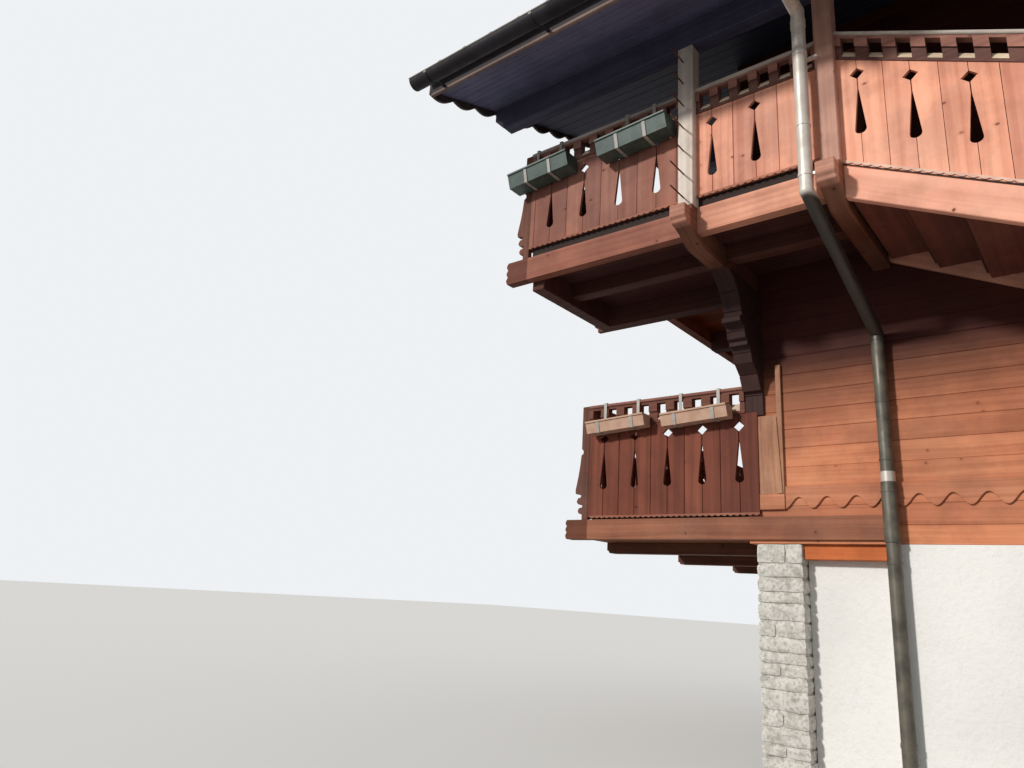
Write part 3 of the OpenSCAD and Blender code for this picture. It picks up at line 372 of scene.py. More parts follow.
def run_grain(bm, along=None):
    """Lays the grain map: u in metres along each timber, v across, a tone for each."""
    grain_map = bm.loops.layers.uv.new("grain")
    tone = bm.faces.layers.float.new("tone")
    for part in islands(bm):
        low, high, _ = extent(part)
        spans = sorted(((high[i] - low[i], i) for i in range(3)), reverse=True)
        axes = [Vector([float(j == i) for j in range(3)]) for _, i in spans]
        if along:
            axes[0] = Vector(along).normalized()
            axes[1] = axes[0].orthogonal().normalized()
            axes[2] = axes[0].cross(axes[1])
        shade = random.random()
        shift, rise = random.uniform(0, MAP_REACH), random.uniform(0, MAP_REACH)
        for face in part:
            face[tone] = shade
            facing = [abs(face.normal.dot(a)) for a in axes]
            if facing[0] > END_ON:
                u_axis, v_axis = axes[2], axes[1]
            elif facing[2] >= facing[1]:
                u_axis, v_axis = axes[0], axes[1]
            else:
                u_axis, v_axis = axes[0], axes[2]
            for loop in face.loops:
                loop[grain_map].uv = (loop.vert.co.dot(u_axis) + shift,
                                      loop.vert.co.dot(v_axis) + rise)


def wrought(name, sources, made, joints=None, gap=0.0, arris=0.004, along=None):
    """A piece of timbers made from CAD nodes, which it stands for."""
    bm = merged(sources)
    for axis, stations in (joints or {}).items():
        cut(bm, axis, stations, gap)
    ease(bm, arris)
    run_grain(bm, along)
    place_mesh(bm, name, made, sources)


SHEEN = 0.2
WARM = (1.10, 1.08, 1.09)
DULL = (0.85, 0.83, 0.86)


def gloss(shader, wire, low, high):
    """Roughness from low to high, by a wire from 0 to 1."""
    plug(shader, wire.node("MapRange", None, {"Value": wire, "To Min": low, "To Max": high}),
         "Roughness")


def times(tint, share):
    """A colour multiplied by another."""
    return blend_tints(1.0, tint, share, "MULTIPLY")


def timber(name, pale, deep, silver, weather=0.3, knots=0.5, rough=0.68, zones=(),
           streaks=0.7):
    """Softwood by its pale and deep stain, with a silver where rain has taken it off, all
    written as 0 to 255. A zone is a share the colour is multiplied by, for painted shade,
    painted light or a change of stain, then the axes and places between which it turns to it."""
    pale, deep, silver = (srgb(*tint) for tint in (pale, deep, silver))
    made, shader, place = finish(name, rough)
    run = place.node("UVMap", {"uv_map": "grain"})
    tone = place.node("Attribute", {"attribute_name": "tone"}, out=2)
    wave = run.stretched((0.9, 3.0, 1.0)).noise(1.0, 2.0) * 0.05
    bent = run.node("CombineXYZ", None, {"X": run.part(X), "Y": run.part(Y) + wave})
    rings = bent.stretched((0.4, 26.0, 1.0)).noise(1.0, 4.0, 0.55)
    fibre = bent.stretched((5.0, 240.0, 1.0)).noise(1.0, 3.0, 0.6)
    near, kind = (run.node("TexVoronoi", {"voronoi_dimensions": "2D"},
                           {"Vector": run, "Scale": 4.6, "Randomness": 1.0}, out=out)
                  for out in (0, 1))
    chosen = kind.part(X).step(0.76, 0.8) * knots
    halo = (1 - near.step(0.05, 0.13)) * chosen
    spot = (1 - near.step(0.03, 0.055)) * chosen
    tint = blend_tints(rings.step(0.34, 0.7) * streaks, pale, deep)
    tint = blend_tints(halo * 0.6, tint, deep)
    tint = blend_tints(fibre.step(0.5, 0.8) * 0.3, tint, deep)
    cloud = run.stretched((0.8, 3.5, 1.0)).noise(1.0, 3.0).step(0.4, 0.75)
    tint = blend_tints(cloud * 0.35, tint, deep)
    rain = place.noise(1.1, 5.0, 0.6).step(0.42, 0.75) * weather
    tint = blend_tints(rain + fibre.step(0.3, 0.6) * (weather * 0.3), tint, silver)
    tint = times(tint, blend_tints(place.noise(2.4, 5.0, 0.65).step(0.38, 0.64), WARM, DULL))
    lift = tone * 0.36 + 0.80
    tint = times(tint, lift.node("CombineColor", None, {
        "Red": lift, "Green": lift * (tone * 0.06 + 0.97), "Blue": lift}))
    tint = blend_tints(spot, tint, tuple(c * 0.3 for c in deep))
    for share, *turns in zones:
        reach = 1.0
        for axis, start, end in turns:
            reach = place.part(axis).step(start, end) * reach
        tint = blend_tints(reach, tint, times(tint, share))
    plug(shader, tint)
    gloss(shader, rings, rough - 0.08, rough + 0.12)
    relief(shader, rings * 0.5 + fibre * 0.5, 0.0014)
    shader.inputs["Specular IOR Level"].default_value = SHEEN
    return made


BALCONY_SHADE = (0.085, 0.045, 0.055)
EAVE_SHADE = (0.55, 0.45, 0.43)
LOG_TINTS = (206, 132, 95), (150, 82, 57), (212, 160, 120)
log_stain = timber("log_stain", *LOG_TINTS, streaks=0.5,
                   zones=[(BALCONY_SHADE, (Z, 3.0, 3.75), (X, -0.5, -2.0), (Y, -4.45, -4.49))])
open_stain = timber("open_stain", *LOG_TINTS, streaks=0.5, zones=[(EAVE_SHADE, (Z, 5.5, 6.5))])
LOG = 0.157
LOG_START = 2.275
LEAST_LOG = 0.03


def courses(low, high):
    """Heights of the log joints between two levels."""
    count = math.ceil((high - LOG_START) / LOG)
    return [z for z in (LOG_START + i * LOG for i in range(count))
            if low + LEAST_LOG < z < high - LEAST_LOG]


for name, piece in (("front_wall_low", "front_logs_low"), ("back_wall_low", "back_logs_low"),
                    ("west_wall_low", "west_logs_low"), ("east_wall_low", "east_logs_low"),
                    ("front_wall_up", "front_logs_up"), ("back_wall_up", "back_logs_up"),
                    ("west_gable", "west_gable_logs"), ("east_gable", "east_gable_logs")):
    low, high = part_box(name)
    wrought(piece, [name], log_stain if name.startswith("front") else open_stain,
            joints={Z: courses(low.z, high.z)}, gap=0.001, arris=0.0035)


# Corner log ends: under the balcony corner and the eaves the crossing logs run out past
# the wall in steps, each sawn to a curve, and carry the beam above. Stained dark, and
# painted darker still from about 3.4 m up, painted shade under balcony and eaves.
LOG_END_SHADE = (0.6, 0.5, 0.5)
corner_dark = timber("corner_dark", (64, 40, 36), (42, 27, 25), (82, 62, 56),
                     zones=[(LOG_END_SHADE, (Z, 3.4, 4.2))])
for name, piece in (("corner_console", "corner_log_ends"), ("eave_consoles", "eave_log_ends")):
    low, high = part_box(name)
    wrought(piece, [name], corner_dark, joints={Z: courses(low.z, high.z)},
            gap=0.003, arris=0.006)


# Scalloped trim, pilaster and recess head: planed boards nailed on the logs. The trim
# hides the joint over the lower beam, the pilaster the sawn ends of the front logs, and
# the newer orange board closes the head of the recess beside the pier.
trim_stain = timber("trim_stain", (206, 136, 100), (156, 90, 64), (206, 156, 120))
pilaster_stain = timber("pilaster_stain", (164, 113, 86), (120, 76, 58),
                        (196, 162, 132), weather=0.6)
new_board = timber("new_board", (212, 120, 66), (184, 92, 46), (200, 130, 84),
                   weather=0.15)


def sawn(bm, outline, thick):
    """A board of sawn outline: the corners of its face, and the vector of its thickness."""
    face = bm.faces.new([bm.verts.new(corner) for corner in outline])
    made = bmesh.ops.extrude_face_region(bm, geom=[face])["geom"]
    bmesh.ops.translate(bm, vec=thick, verts=[v for v in made
                                              if isinstance(v, bmesh.types.BMVert)])


WAVE = 0.2145
WAVE_RISE = 0.090
WAVE_STEPS = 20
TRIM = 0.018
TRIM_DROP = 0.005
nailed_low, nailed_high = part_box("corner_pilaster")
bm = merged(["wave_trims"])
waves = bmesh.new()
for part in islands(bm):
    low, high, run = extent(part)
    if low.x < nailed_low.x + TRIM:
        block(waves, low, (nailed_high.x, high.y, nailed_low.z))
        low = Vector((nailed_high.x, high.y - TRIM, low.z + TRIM_DROP))
    length = high[run] - low[run]
    fine = round(length / WAVE * WAVE_STEPS)
    line = [(low[run] + i * length / fine,
             low.z + WAVE_RISE / 2 * (1 - math.cos(math.tau * i * length / fine / WAVE)))
            for i in range(fine + 1)]
    outline = []
    for at, z in line + [(high[run], high.z), (low[run], high.z)]:
        corner = Vector((0.0, 0.0, z))
        corner[run], corner[1 - run] = at, (low.y if run == X else high.x)
        outline.append(corner)
    sawn(waves, outline, (0.0, high.y - low.y, 0.0) if run == X else (low.x - high.x, 0.0, 0.0))
bm.free()
bmesh.ops.recalc_face_normals(waves, faces=waves.faces)
ease(waves, 0.003)
run_grain(waves)
place_mesh(waves, "trim_boards", trim_stain, ["wave_trims"])
wrought("pilaster_boards", ["corner_pilaster"], pilaster_stain, arris=0.003)
wrought("recess_board", ["niche_board"], new_board, arris=0.004)


# Floors and decks: spruce boards side by side, nailed across their joists and stained dark
# outside. On the balcony they run along the eave, in the lower gallery along the gable. The
# balcony deck is dark partly by its stain and partly by painted shade, and from the wall
# line inward it turns to painted light; the lower gallery's deck is an ochre painted glow.
DECK_LIGHT = (3.6, 3.0, 1.6)
underside = timber("underside", (74, 37, 31), (46, 25, 22), (86, 58, 50),
                   zones=[(DECK_LIGHT, (Y, -4.40, -4.34))])
floor_pine = timber("floor_pine", (206, 160, 104), (170, 120, 70),
                    (190, 160, 120), weather=0.1)
lit_glow_deck = timber("lit_glow_deck", (132, 78, 38), (90, 52, 26), (120, 84, 52),
                    weather=0.1)


def every(low, high, width):
    """Joint places a board width apart between two ends."""
    count = max(1, round((high - low) / width))
    return [low + i * (high - low) / count for i in range(1, count)]


for name, piece, made, slot, across, width in (
        ("deck_up", "deck_boards_up", underside, "dark_timber", Y, 0.14),
        ("deck_low", "deck_boards_low", lit_glow_deck, "dark_timber", X, 0.14),
        ("floor_low", "floor_boards_low", floor_pine, "floor_boards", Y, 0.12),
        ("floor_up", "floor_boards_up", floor_pine, "floor_boards", Y, 0.12)):
    low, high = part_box(name)
    wrought(piece, [name], made, joints={across: every(low[across], high[across], width)},
            gap=0.004, arris=0.003)


# Carriers: squared joists and the two through beams, let into the logs. The noses of the
# beams are sawn to a stepped profile. Inside the balcony and under the lower gallery they
# are painted darker, painted shade, and so is the nose beside the pipe; the joists under
# the balcony deck have a dark stain of painted shade. The nose by the first tall post is
# painted lighter, a painted sunlit face.
BEAM_SHADE_INSIDE = (0.5, 0.42, 0.4)
NOSE_SHADE = (0.40, 0.34, 0.36)
SUNLIT_NOSE = (2.2, 2.5, 2.9)
beam_stain = timber("beam_stain", (136, 84, 62), (88, 52, 40), (156, 126, 106),
                    knots=0.8, zones=[(BEAM_SHADE_INSIDE, (Y, -5.55, -5.2)),
                                      (NOSE_SHADE, (Y, -5.66, -5.74), (X, -4.1, -3.9)),
                                      (SUNLIT_NOSE, (Y, -5.80, -5.84), (X, -3.9, -4.1))])
under_shade_stain = timber("under_shade_stain", (88, 48, 38), (54, 30, 25), (102, 72, 60))
wrought("joists_up", ["gallery_joists_up"], under_shade_stain, arris=0.005)
wrought("joists_low", ["gallery_joists_low"], beam_stain, arris=0.005)
wrought("through_beams", ["cantilever_beams"], beam_stain, arris=0.006)


# Edge beams and posts: planed softwood in a light stain, open-grained and weathered, the
# ends of the beams sawn to three round tongues. The corner posts are sawn to a swept foot.
# The lobed beam ends are darker, partly their end grain and partly painted shade; the upper
# beams past the gable face are darker, partly a darker stain and partly painted shade.
END_GRAIN_AND_SHADE = (0.45, 0.38, 0.36)
PAST_GABLE = (0.52, 0.44, 0.44)
RED_POST = (1.06, 0.70, 0.58)
light_stain = timber("light_stain", (226, 162, 134), (184, 118, 94),
                     (224, 190, 168), weather=0.35, knots=0.7, rough=0.72,
                     zones=[(END_GRAIN_AND_SHADE, (X, -7.29, -7.31)),
                            (PAST_GABLE, (X, -5.2, -5.9))])
low_stain = timber("low_stain", (164, 105, 78), (122, 73, 54),
                   (168, 132, 105), weather=0.4, knots=0.7, rough=0.72,
                   zones=[(END_GRAIN_AND_SHADE, (X, -7.32, -7.34))])
post_stain = timber("post_stain", (212, 200, 190), (172, 154, 142),
                    (218, 212, 204), weather=0.6, knots=0.8, rough=0.75,
                    zones=[(RED_POST, (X, -5.3, -5.0))])
dark_stain = timber("dark_stain", (108, 64, 50), (66, 40, 32), (128, 98, 84))
sole_shade = timber("sole_shade", (48, 32, 27), (30, 21, 18), (66, 52, 46))
END = 0.09
NOTCH = 0.03
PARTING = 0.0005
_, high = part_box("edge_beams_up")
wrought("beams_up", ["edge_beams_up"], light_stain,
        joints={Y: [high.y - END - PARTING]}, gap=0.002, arris=0.006)
low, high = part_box("edge_beams_low")
wrought("beams_low", ["edge_beams_low"], low_stain,
        joints={Y: [high.y - END - PARTING, low.y + END + NOTCH + PARTING]}, gap=0.002,
        arris=0.006)
wrought("tall_posts", ["roof_posts"], post_stain, arris=0.007)
wrought("swept_posts", ["corner_posts"], dark_stain, arris=0.003)
# The foot rails behind the boards are near black, painted shade.
wrought("sole_rails", ["foot_rails"], sole_shade, arris=0.004)
wrought("pegs", ["post_pegs"], dark_stain, arris=0.001)


# Balustrades: upright boards with a sawn pattern between each pair, a drop below and a
# star above. Each board is planed and stained by itself, so they differ in tone. A lath
# sawn to small lobes is nailed along their foot; on the stair a near-black strip under it
# is a painted shadow. Past the gable face the upper boards are darker, partly a darker
# stain and partly painted shade.
BOARDS_PAST_GABLE = (0.38, 0.34, 0.36)
board_up = timber("board_up", (236, 168, 140), (196, 124, 98),
                  (232, 190, 168), weather=0.3, knots=0.8,
                  zones=[(BOARDS_PAST_GABLE, (X, -5.62, -5.75))])
board_low = timber("board_low", (124, 66, 49), (88, 46, 35),
                   (124, 84, 66), weather=0.25, knots=0.8)
board_stair = timber("board_stair", (240, 168, 138), (202, 126, 98),
                     (236, 196, 174), weather=0.3, knots=0.8)
UPRIGHT = (0, 0, 1)
JOINT = 0.004
RIM = 0.03
FOOT_RIM = 0.02
APART = 0.12
LEAST_BOARD = 0.04


def lifted(part):
    """The faces of one island as a bmesh of its own."""
    made = bmesh.new()
    twin = {}
    for face in part:
        corners = []
        for v in face.verts:
            if v not in twin:
                twin[v] = made.verts.new(v.co)
            corners.append(twin[v])
        made.faces.new(corners)
    made.normal_update()
    return made


def motifs(bm, axis):
    """Centres of the sawn cut-outs along a bay, found from the vertices inside it."""
    runs = [v.co[axis] for v in bm.verts]
    levels = [v.co.z for v in bm.verts]
    low, high = min(runs), max(runs)
    inner = sorted(v.co[axis] for v in bm.verts if low + RIM < v.co[axis] < high - RIM
                   and min(levels) + FOOT_RIM < v.co.z < max(levels) - RIM)
    groups = []
    for r in inner:
        if groups and r - groups[-1][-1] < APART:
            groups[-1].append(r)
        else:
            groups.append([r])
    if not groups:
        return low, high, []
    first, last = ((g[0] + g[-1]) / 2 for g in (groups[0], groups[-1]))
    count = max(1, len(groups) - 1)
    return low, high, [first + i * (last - first) / count for i in range(len(groups))]


def board_joints(low, high, centres):
    """Joints through the cut-outs, midway between them, and half a step beyond."""
    if not centres:
        return []
    step = (centres[1] - centres[0]) if len(centres) > 1 else high - low
    ends = [centres[0] - step / 2, centres[-1] + step / 2]
    middles = [(a + b) / 2 for a, b in zip(centres, centres[1:])]
    return [x for x in sorted(centres + middles + ends)
            if low + LEAST_BOARD < x < high - LEAST_BOARD]


LATH = 0.008
LATH_HIGH = 0.012
LATH_RISE = 0.026
LATH_PROUD = 0.0004
LOBE = 0.012
LOBE_STEPS = 6
STRIP = 0.3
STRIP_FOOT = 0.001
LEAST_BAY = 0.1


def edging(bm, start, end, out, foot, top, pitch):
    """A thin lath from start to end on the face of the boards, between two heights over
    their foot line, its lower edge sawn to small lobes where it has a pitch."""
    length = (end - start).length
    if length < pitch * 2:
        return
    fine = round(length / pitch) * LOBE_STEPS if pitch else 1
    lobe = LOBE if pitch else 0.0
    line = [(start.lerp(end, i / fine), foot - lobe * abs(math.sin(math.pi * i / LOBE_STEPS)))
            for i in range(fine + 1)]
    line += [(end, top), (start, top)]
    sawn(bm, [at + Vector((0, 0, z)) + out * LATH_PROUD for at, z in line], out * LATH)


def foot_line(bay, axis):
    """The outer foot of a bay: where it starts, where it ends, and the way it faces."""
    side = 1 - axis
    outer = max((v.co[side] for v in bay.verts), key=abs)
    skin = [v.co for v in bay.verts if abs(v.co[side] - outer) < 1e-4]
    ends = []
    for pick in (min, max):
        end = pick(spot[axis] for spot in skin)
        at_end = [spot for spot in skin if abs(spot[axis] - end) < 0.01]
        ends.append(min(at_end, key=lambda spot: spot.z).copy())
    out = Vector((0.0, 0.0, 0.0))
    out[side] = math.copysign(1.0, outer)
    return *ends, out


def boarded(name, node, made, corners=(), width=None, gap=JOINT, arris=0.003,
            laths=(), pitch=0.056):
    """A boarded piece: sawn into its bays at the corners, and each bay into boards. laths
    are the finishes of the lobed lath and of the painted shadow strip at the boards' foot."""
    feet = {"laths": bmesh.new(), "strips": bmesh.new()}
    bm = merged([node])
    for axis, station in corners:
        cut(bm, axis, [station])
    whole = bmesh.new()
    for part in islands(bm):
        bay = lifted(part)
        *_, axis = extent(part)
        low, high, centres = motifs(bay, axis)
        joints = every(low, high, width) if width else board_joints(low, high, centres)
        if laths and high - low > LEAST_BAY:
            start, end, out = foot_line(bay, axis)
            raised = LATH_RISE if abs(start.z - end.z) > LEAST_BAY else 0.0
            edging(feet["laths"], start, end, out, raised, raised + LATH_HIGH, pitch)
            if raised:
                edging(feet["strips"], start, end, out * STRIP, STRIP_FOOT, LATH_HIGH, 0)
        cut(bay, axis, joints, gap)
        ease(bay, arris)
        scratch = bpy.data.meshes.new("bay")
        bay.to_mesh(scratch)
        whole.from_mesh(scratch)
        bpy.data.meshes.remove(scratch)
        bay.free()
    bm.free()
    for word, tint in zip(feet, laths):
        if len(feet[word].verts):
            bmesh.ops.recalc_face_normals(feet[word], faces=feet[word].faces)
            run_grain(feet[word])
            place_mesh(feet[word], name.replace("boards", word), tint)
    run_grain(whole, UPRIGHT)
    place_mesh(whole, name, made, [node])


pale_lath = timber("pale_lath", (226, 186, 168), (190, 140, 120), (228, 208, 194))
low_lath = timber("low_lath", (164, 106, 84), (118, 70, 54), (164, 130, 112))
SIDE_FRONT, SIDE_BACK = -5.672, -4.378
UP_END, UP_OUTER = 4.472, -6.6625
LOW_FRONT, LOW_END, LOW_OUTER = -4.499, 4.472, -7.3025
boarded("side_boards", "side_balustrade", board_up,
        corners=[(Y, SIDE_FRONT), (Y, SIDE_BACK)], laths=(low_lath, sole_shade))
boarded("gallery_boards_up", "gallery_balustrade_up", board_up,
        corners=[(Y, UP_END), (X, UP_OUTER)], laths=(low_lath, sole_shade))
boarded("gallery_boards_low", "gallery_balustrade_low", board_low,
        corners=[(Y, LOW_FRONT), (Y, LOW_END), (X, LOW_OUTER)], laths=(low_lath, sole_shade))
boarded("stair_boards", "stair_balustrade", board_stair,
        laths=(pale_lath, sole_shade), pitch=0.066)


# Handrails: a toothed band of two sawn laths under a rounded cap, see-through between the
# teeth; the cap is a worn, greyed board that sheds the rain. On the balcony and stair rails
# the lower tier of teeth is painted darker, painted shade under the upper tier.
teeth_up = timber("teeth_up", (164, 114, 100), (116, 72, 62),
                  (180, 150, 136), weather=0.3, rough=0.75)
teeth_low = timber("teeth_low", (128, 78, 62), (86, 50, 40), (140, 108, 92))
cap_grey = timber("cap_grey", (196, 184, 174), (156, 138, 126),
                  (216, 210, 204), weather=0.8, rough=0.8)
sill_cream = timber("sill_cream", (232, 212, 182), (206, 178, 146),
                    (238, 228, 210), weather=0.5)
tier_shade = timber("tier_shade", (108, 72, 64), (74, 46, 41), (122, 96, 86))
CAP = 0.034
TIER = 0.125
SILL_DEEP = 0.1
SILL_LEAN = (0.3, 3.0)
SILL_AREA = 0.002
RAIL_END = 0.02


def railed(name, node, teeth, cap, shade):
    """A handrail: its cap, its sills and the two tiers of its teeth each in their finish."""
    bm = merged([node])
    ease(bm, 0.003)
    run_grain(bm)
    for part in islands(bm):
        low, high, axis = extent(part)
        low, high = low[axis], high[axis]
        spots = [v.co for f in part for v in f.verts]
        start = max(p.z for p in spots if p[axis] < low + RAIL_END)
        end = max(p.z for p in spots if p[axis] > high - RAIL_END)
        for face in part:
            spot = face.calc_center_bounds()
            deep = start + (end - start) * (spot[axis] - low) / (high - low) - spot.z
            lean = abs(face.normal.z) / max(abs(face.normal[1 - axis]), 0.01)
            slopes = SILL_LEAN[0] < lean < SILL_LEAN[1] and face.calc_area() > SILL_AREA
            if deep < CAP:
                face.material_index = 1
            elif slopes and deep > SILL_DEEP:
                face.material_index = 2
            elif deep > TIER:
                face.material_index = 3
    piece = place_mesh(bm, name, teeth, [node])
    for made in (cap, sill_cream, shade):
        piece.data.materials.append(made)


railed("rails_up", "handrails_up", teeth_up, cap_grey, tier_shade)
railed("rails_low", "handrails_low", teeth_low, teeth_up, teeth_low)
railed("rails_raking", "stair_handrails", teeth_up, cap_grey, tier_shade)


# Outside stair: treads and risers of oiled board housed between two planed strings, with
# a landing framed between the posts.
string_stain = timber("string_stain", (236, 168, 142), (204, 132, 106),
                      (228, 190, 170), weather=0.3, knots=1.0, rough=0.72)
tread_stain = timber("tread_stain", (118, 64, 50), (78, 42, 34),
                     (130, 92, 78), weather=0.3)
RAKE = (0.896, 0, -0.443)
wrought("strings", ["stair_strings"], string_stain, arris=0.005, along=RAKE)
wrought("treads_up", ["stair_treads_up"], tread_stain, arris=0.005)
wrought("treads_low", ["stair_treads_low"], tread_stain, arris=0.005)
# The risers take the same dark stain, painted shade under the flight.
wrought("riser_boards", ["stair_risers"], under_shade_stain, arris=0.003)
wrought("landing_frame", ["landing"], tread_stain, arris=0.005)


# Roof: matched boards across the rafters, dark stained and left to grey, seen from below
# as the soffit. Purlins carry them; the verges end in scalloped bargeboards and the eaves
# in a fascia. Soffit and purlins are tinted a cool violet grey, painted sky light, and the
# soffit inside the balcony is darker still with painted shade; the fascia's lower edge is
# painted lighter, a painted sunlit edge.
SOFFIT_SHADE = (0.22, 0.22, 0.24)
LIT_FASCIA_EDGE = (5.5, 4.8, 3.9)
BOARD = 0.165
soffit_stain = timber("soffit_stain", (104, 106, 138), (84, 84, 110),
                      (112, 114, 144), weather=0.4, knots=0.5,
                      zones=[(SOFFIT_SHADE, (Y, -5.9, -5.6), (Y, 0.2, 0.0))])
dark_beam = timber("dark_beam", (84, 82, 104), (62, 60, 78), (92, 90, 112))
verge_stain = timber("verge_stain", (72, 60, 60), (50, 42, 43), (84, 76, 76))
fascia_stain = timber("fascia_stain", (58, 52, 54), (40, 37, 40), (84, 78, 76),
                      zones=[(LIT_FASCIA_EDGE, (Z, 5.985, 5.975))])
for name in ("roof_deck_front", "roof_deck_back"):
    low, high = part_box(name)
    wrought(name.replace("deck", "boards"), [name], soffit_stain,
            joints={Y: every(low.y, high.y, BOARD)}, gap=0.003, arris=0.004)
wrought("roof_purlins", ["purlins"], dark_beam, arris=0.006)
wrought("verge_boards", ["bargeboards"], verge_stain, arris=0.003)
wrought("eave_fascias", ["fascias"], fascia_stain, arris=0.003)


# Roof covering: interlocking concrete tiles, dark grey and lichened, with a half-round
# row bedded over the ridge.
tile_grey, shader, place = finish("tile_grey", 0.85)
patch = place.noise(2.2, 5.0).step(0.35, 0.7)
tint = blend_tints(patch, srgb(92, 88, 86), srgb(70, 66, 66))
spots = place.noise(30.0, 4.0, 0.7).step(0.62, 0.72)
plug(shader, blend_tints(spots * 0.6, tint, srgb(150, 150, 130)))
relief(shader, place.noise(60.0, 4.0), 0.003)
TILE = 0.30
TILE_RISE = 0.022
TILE_LIP = 0.022
TILE_TAIL = 0.020
TILE_DRIFT = 0.0015
PROFILE = ((0.0, 0.0), (0.12, -0.3), (0.5, -0.3), (0.62, 0.0), (0.72, 0.75), (0.81, 1.0),
           (0.90, 0.75), (0.985, 0.02))
ROW = 0.34
LAP = 0.05
TOP_GAP = 0.1
BEDDING = 0.045
SKIN = 0.01


def tile_row(bm, y, end, crown, tone):
    """One row of tiles across the roof: a pan and a roll for each tile, its lower edge at
    a distance y from the ridge line, standing on the row below."""
    half = crown["half"]
    count = round(2 * half / TILE)
    wide = 2 * half / count
    upper = []
    for i in range(count):
        drift = random.uniform(-TILE_DRIFT, TILE_DRIFT)
        for share, lift in PROFILE:
            upper.append((-half + (i + share) * wide, lift * TILE_RISE + drift))
    upper.append((half, 0.0))
    rows = []
    for back, drop in ((0.0, -TILE_LIP), (0.0, 0.0), (crown["row"] + LAP, -TILE_TAIL)):
        line = []
        for x, lift in upper:
            at = y - back
            line.append(bm.verts.new((x, end * at, crown["top"] - crown["pitch"] * at
                                      - TILE_RISE + lift + drop)))
        rows.append(line)
    for below, above in zip(rows, rows[1:]):
        for i in range(len(upper) - 1):
            corners = (below[i], below[i + 1], above[i + 1], above[i])
            face = bm.faces.new(corners if end < 0 else corners[::-1])
            face[tone] = noise.cell(Vector((i // len(PROFILE), y * 7.0, end * 3.0)))


for end, name in ((-1, "roof_cover_front"), (1, "roof_cover_back")):
    low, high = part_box(name)
    reach = max(abs(low.y), abs(high.y))
    slope = [v.co for v in nodes[name].data.vertices]
    eave = max(v.z for v in slope if abs(v.y) > reach - SKIN)
    pitch = (high.z - eave) / reach
    bm = merged([name])
    for v in bm.verts:
        if v.co.z > high.z - pitch * abs(v.co.y) - SKIN:
            v.co.z -= BEDDING
    tone = bm.faces.layers.float.new("tone")
    count = round((reach - TOP_GAP) / (ROW * math.cos(math.atan(pitch))))
    crown = {"half": high.x, "top": high.z, "pitch": pitch, "row": (reach - TOP_GAP) / count}
    for i in range(count):
        tile_row(bm, reach - i * crown["row"], end, crown, tone)
    place_mesh(bm, name.replace("cover", "tiles"), tile_grey, [name], smooth=38)

RIDGE = 0.38
RIDGE_WIDE, RIDGE_NARROW = 0.150, 0.132
RIDGE_SQUASH = 0.62
RIDGE_FOOT = 0.095
RIDGE_LAP = 0.03
low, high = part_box("ridge_cap")
count = round((high.x - low.x) / RIDGE)
step = (high.x - low.x) / count
foot = high.z - RIDGE_FOOT
bm = bmesh.new()
tone = bm.faces.layers.float.new("tone")
for i in range(count):
    middle = low.x + (i + 0.5) * step + (RIDGE_LAP / 2 if i == 0 else 0.0)
    made = bmesh.ops.create_cone(
        bm, cap_ends=True, segments=28, radius1=RIDGE_WIDE, radius2=RIDGE_NARROW,
        depth=step + RIDGE_LAP, matrix=Matrix.Translation((middle, 0, foot))
        @ Matrix.Diagonal((1.0, 1.0, RIDGE_SQUASH, 1.0))
        @ Matrix.Rotation(-math.pi / 2, 4, "Y"))["verts"]
    shade = random.random()
    for face in {f for v in made for f in v.link_faces}:
        face[tone] = shade
bmesh.ops.bisect_plane(bm, geom=bm.verts[:] + bm.edges[:] + bm.faces[:], dist=1e-6,
                       plane_co=(0, 0, foot), plane_no=(0, 0, 1), clear_inner=True)
close_rims(bm)
for v in bm.verts:
    v.co.x = min(max(v.co.x, low.x), high.x)
place_mesh(bm, "ridge_tiles", tile_grey, ["ridge_cap"], smooth=38)


# Rainwater goods: a half-round gutter on flat hooks and a round downpipe, folded sheet with
# soldered sleeves. The upper pipe is bright, the lower pipe a darker dull brown grey, and
# the slanting neck between them darker still, painted shade under the balcony.
def sheet(name, bright, dull, rough, metal):
    """Weathered sheet metal: two tints in clouds, duller in streaks that run down."""
    made, shader, place = finish(name, rough, metal)
    cloud = place.noise(5.0, 5.0, 0.6).step(0.35, 0.7)
    streak = place.stretched((40.0, 40.0, 1.5)).noise(1.0, 4.0).step(0.45, 0.75)
    gloss(shader, cloud, rough - 0.07, rough + 0.12)
    relief(shader, place.noise(9.0, 2.0), 0.0012)
    return made, shader, place, blend_tints(cloud * 0.6 + streak * 0.4, bright, dull)


SLEEVE_FOOT, SLEEVE_TOP = (2.575, 2.585), (2.65, 2.66)
NECK_SHADE = (3.60, 3.72)
DARK_PIPE_TOP = (4.33, 4.36)
BEAD_EDGE = 0.006
BEAD_FADE = 0.003
pipe_sheet, shader, place, tint = sheet("pipe_sheet", srgb(228, 220, 210), srgb(176, 168, 158),
                                        0.45, 0.25)
height = place.part(Z)
pipe_below = blend_tints(place.noise(8.0, 5.0).step(0.35, 0.7), srgb(100, 95, 84), srgb(70, 66, 57))
sleeve = height.step(*SLEEVE_FOOT) * (1 - height.step(*SLEEVE_TOP))
pipe_below = blend_tints(sleeve, pipe_below, srgb(188, 180, 170))
pipe_below = blend_tints(height.step(*NECK_SHADE), pipe_below, srgb(58, 55, 49))
plug(shader, blend_tints(height.step(*DARK_PIPE_TOP), pipe_below, tint))
gutter_sheet, shader, place, tint = sheet("gutter_sheet", srgb(34, 31, 36), srgb(20, 19, 22),
                                          0.62, 0.0)
shader.inputs["Specular IOR Level"].default_value = SHEEN
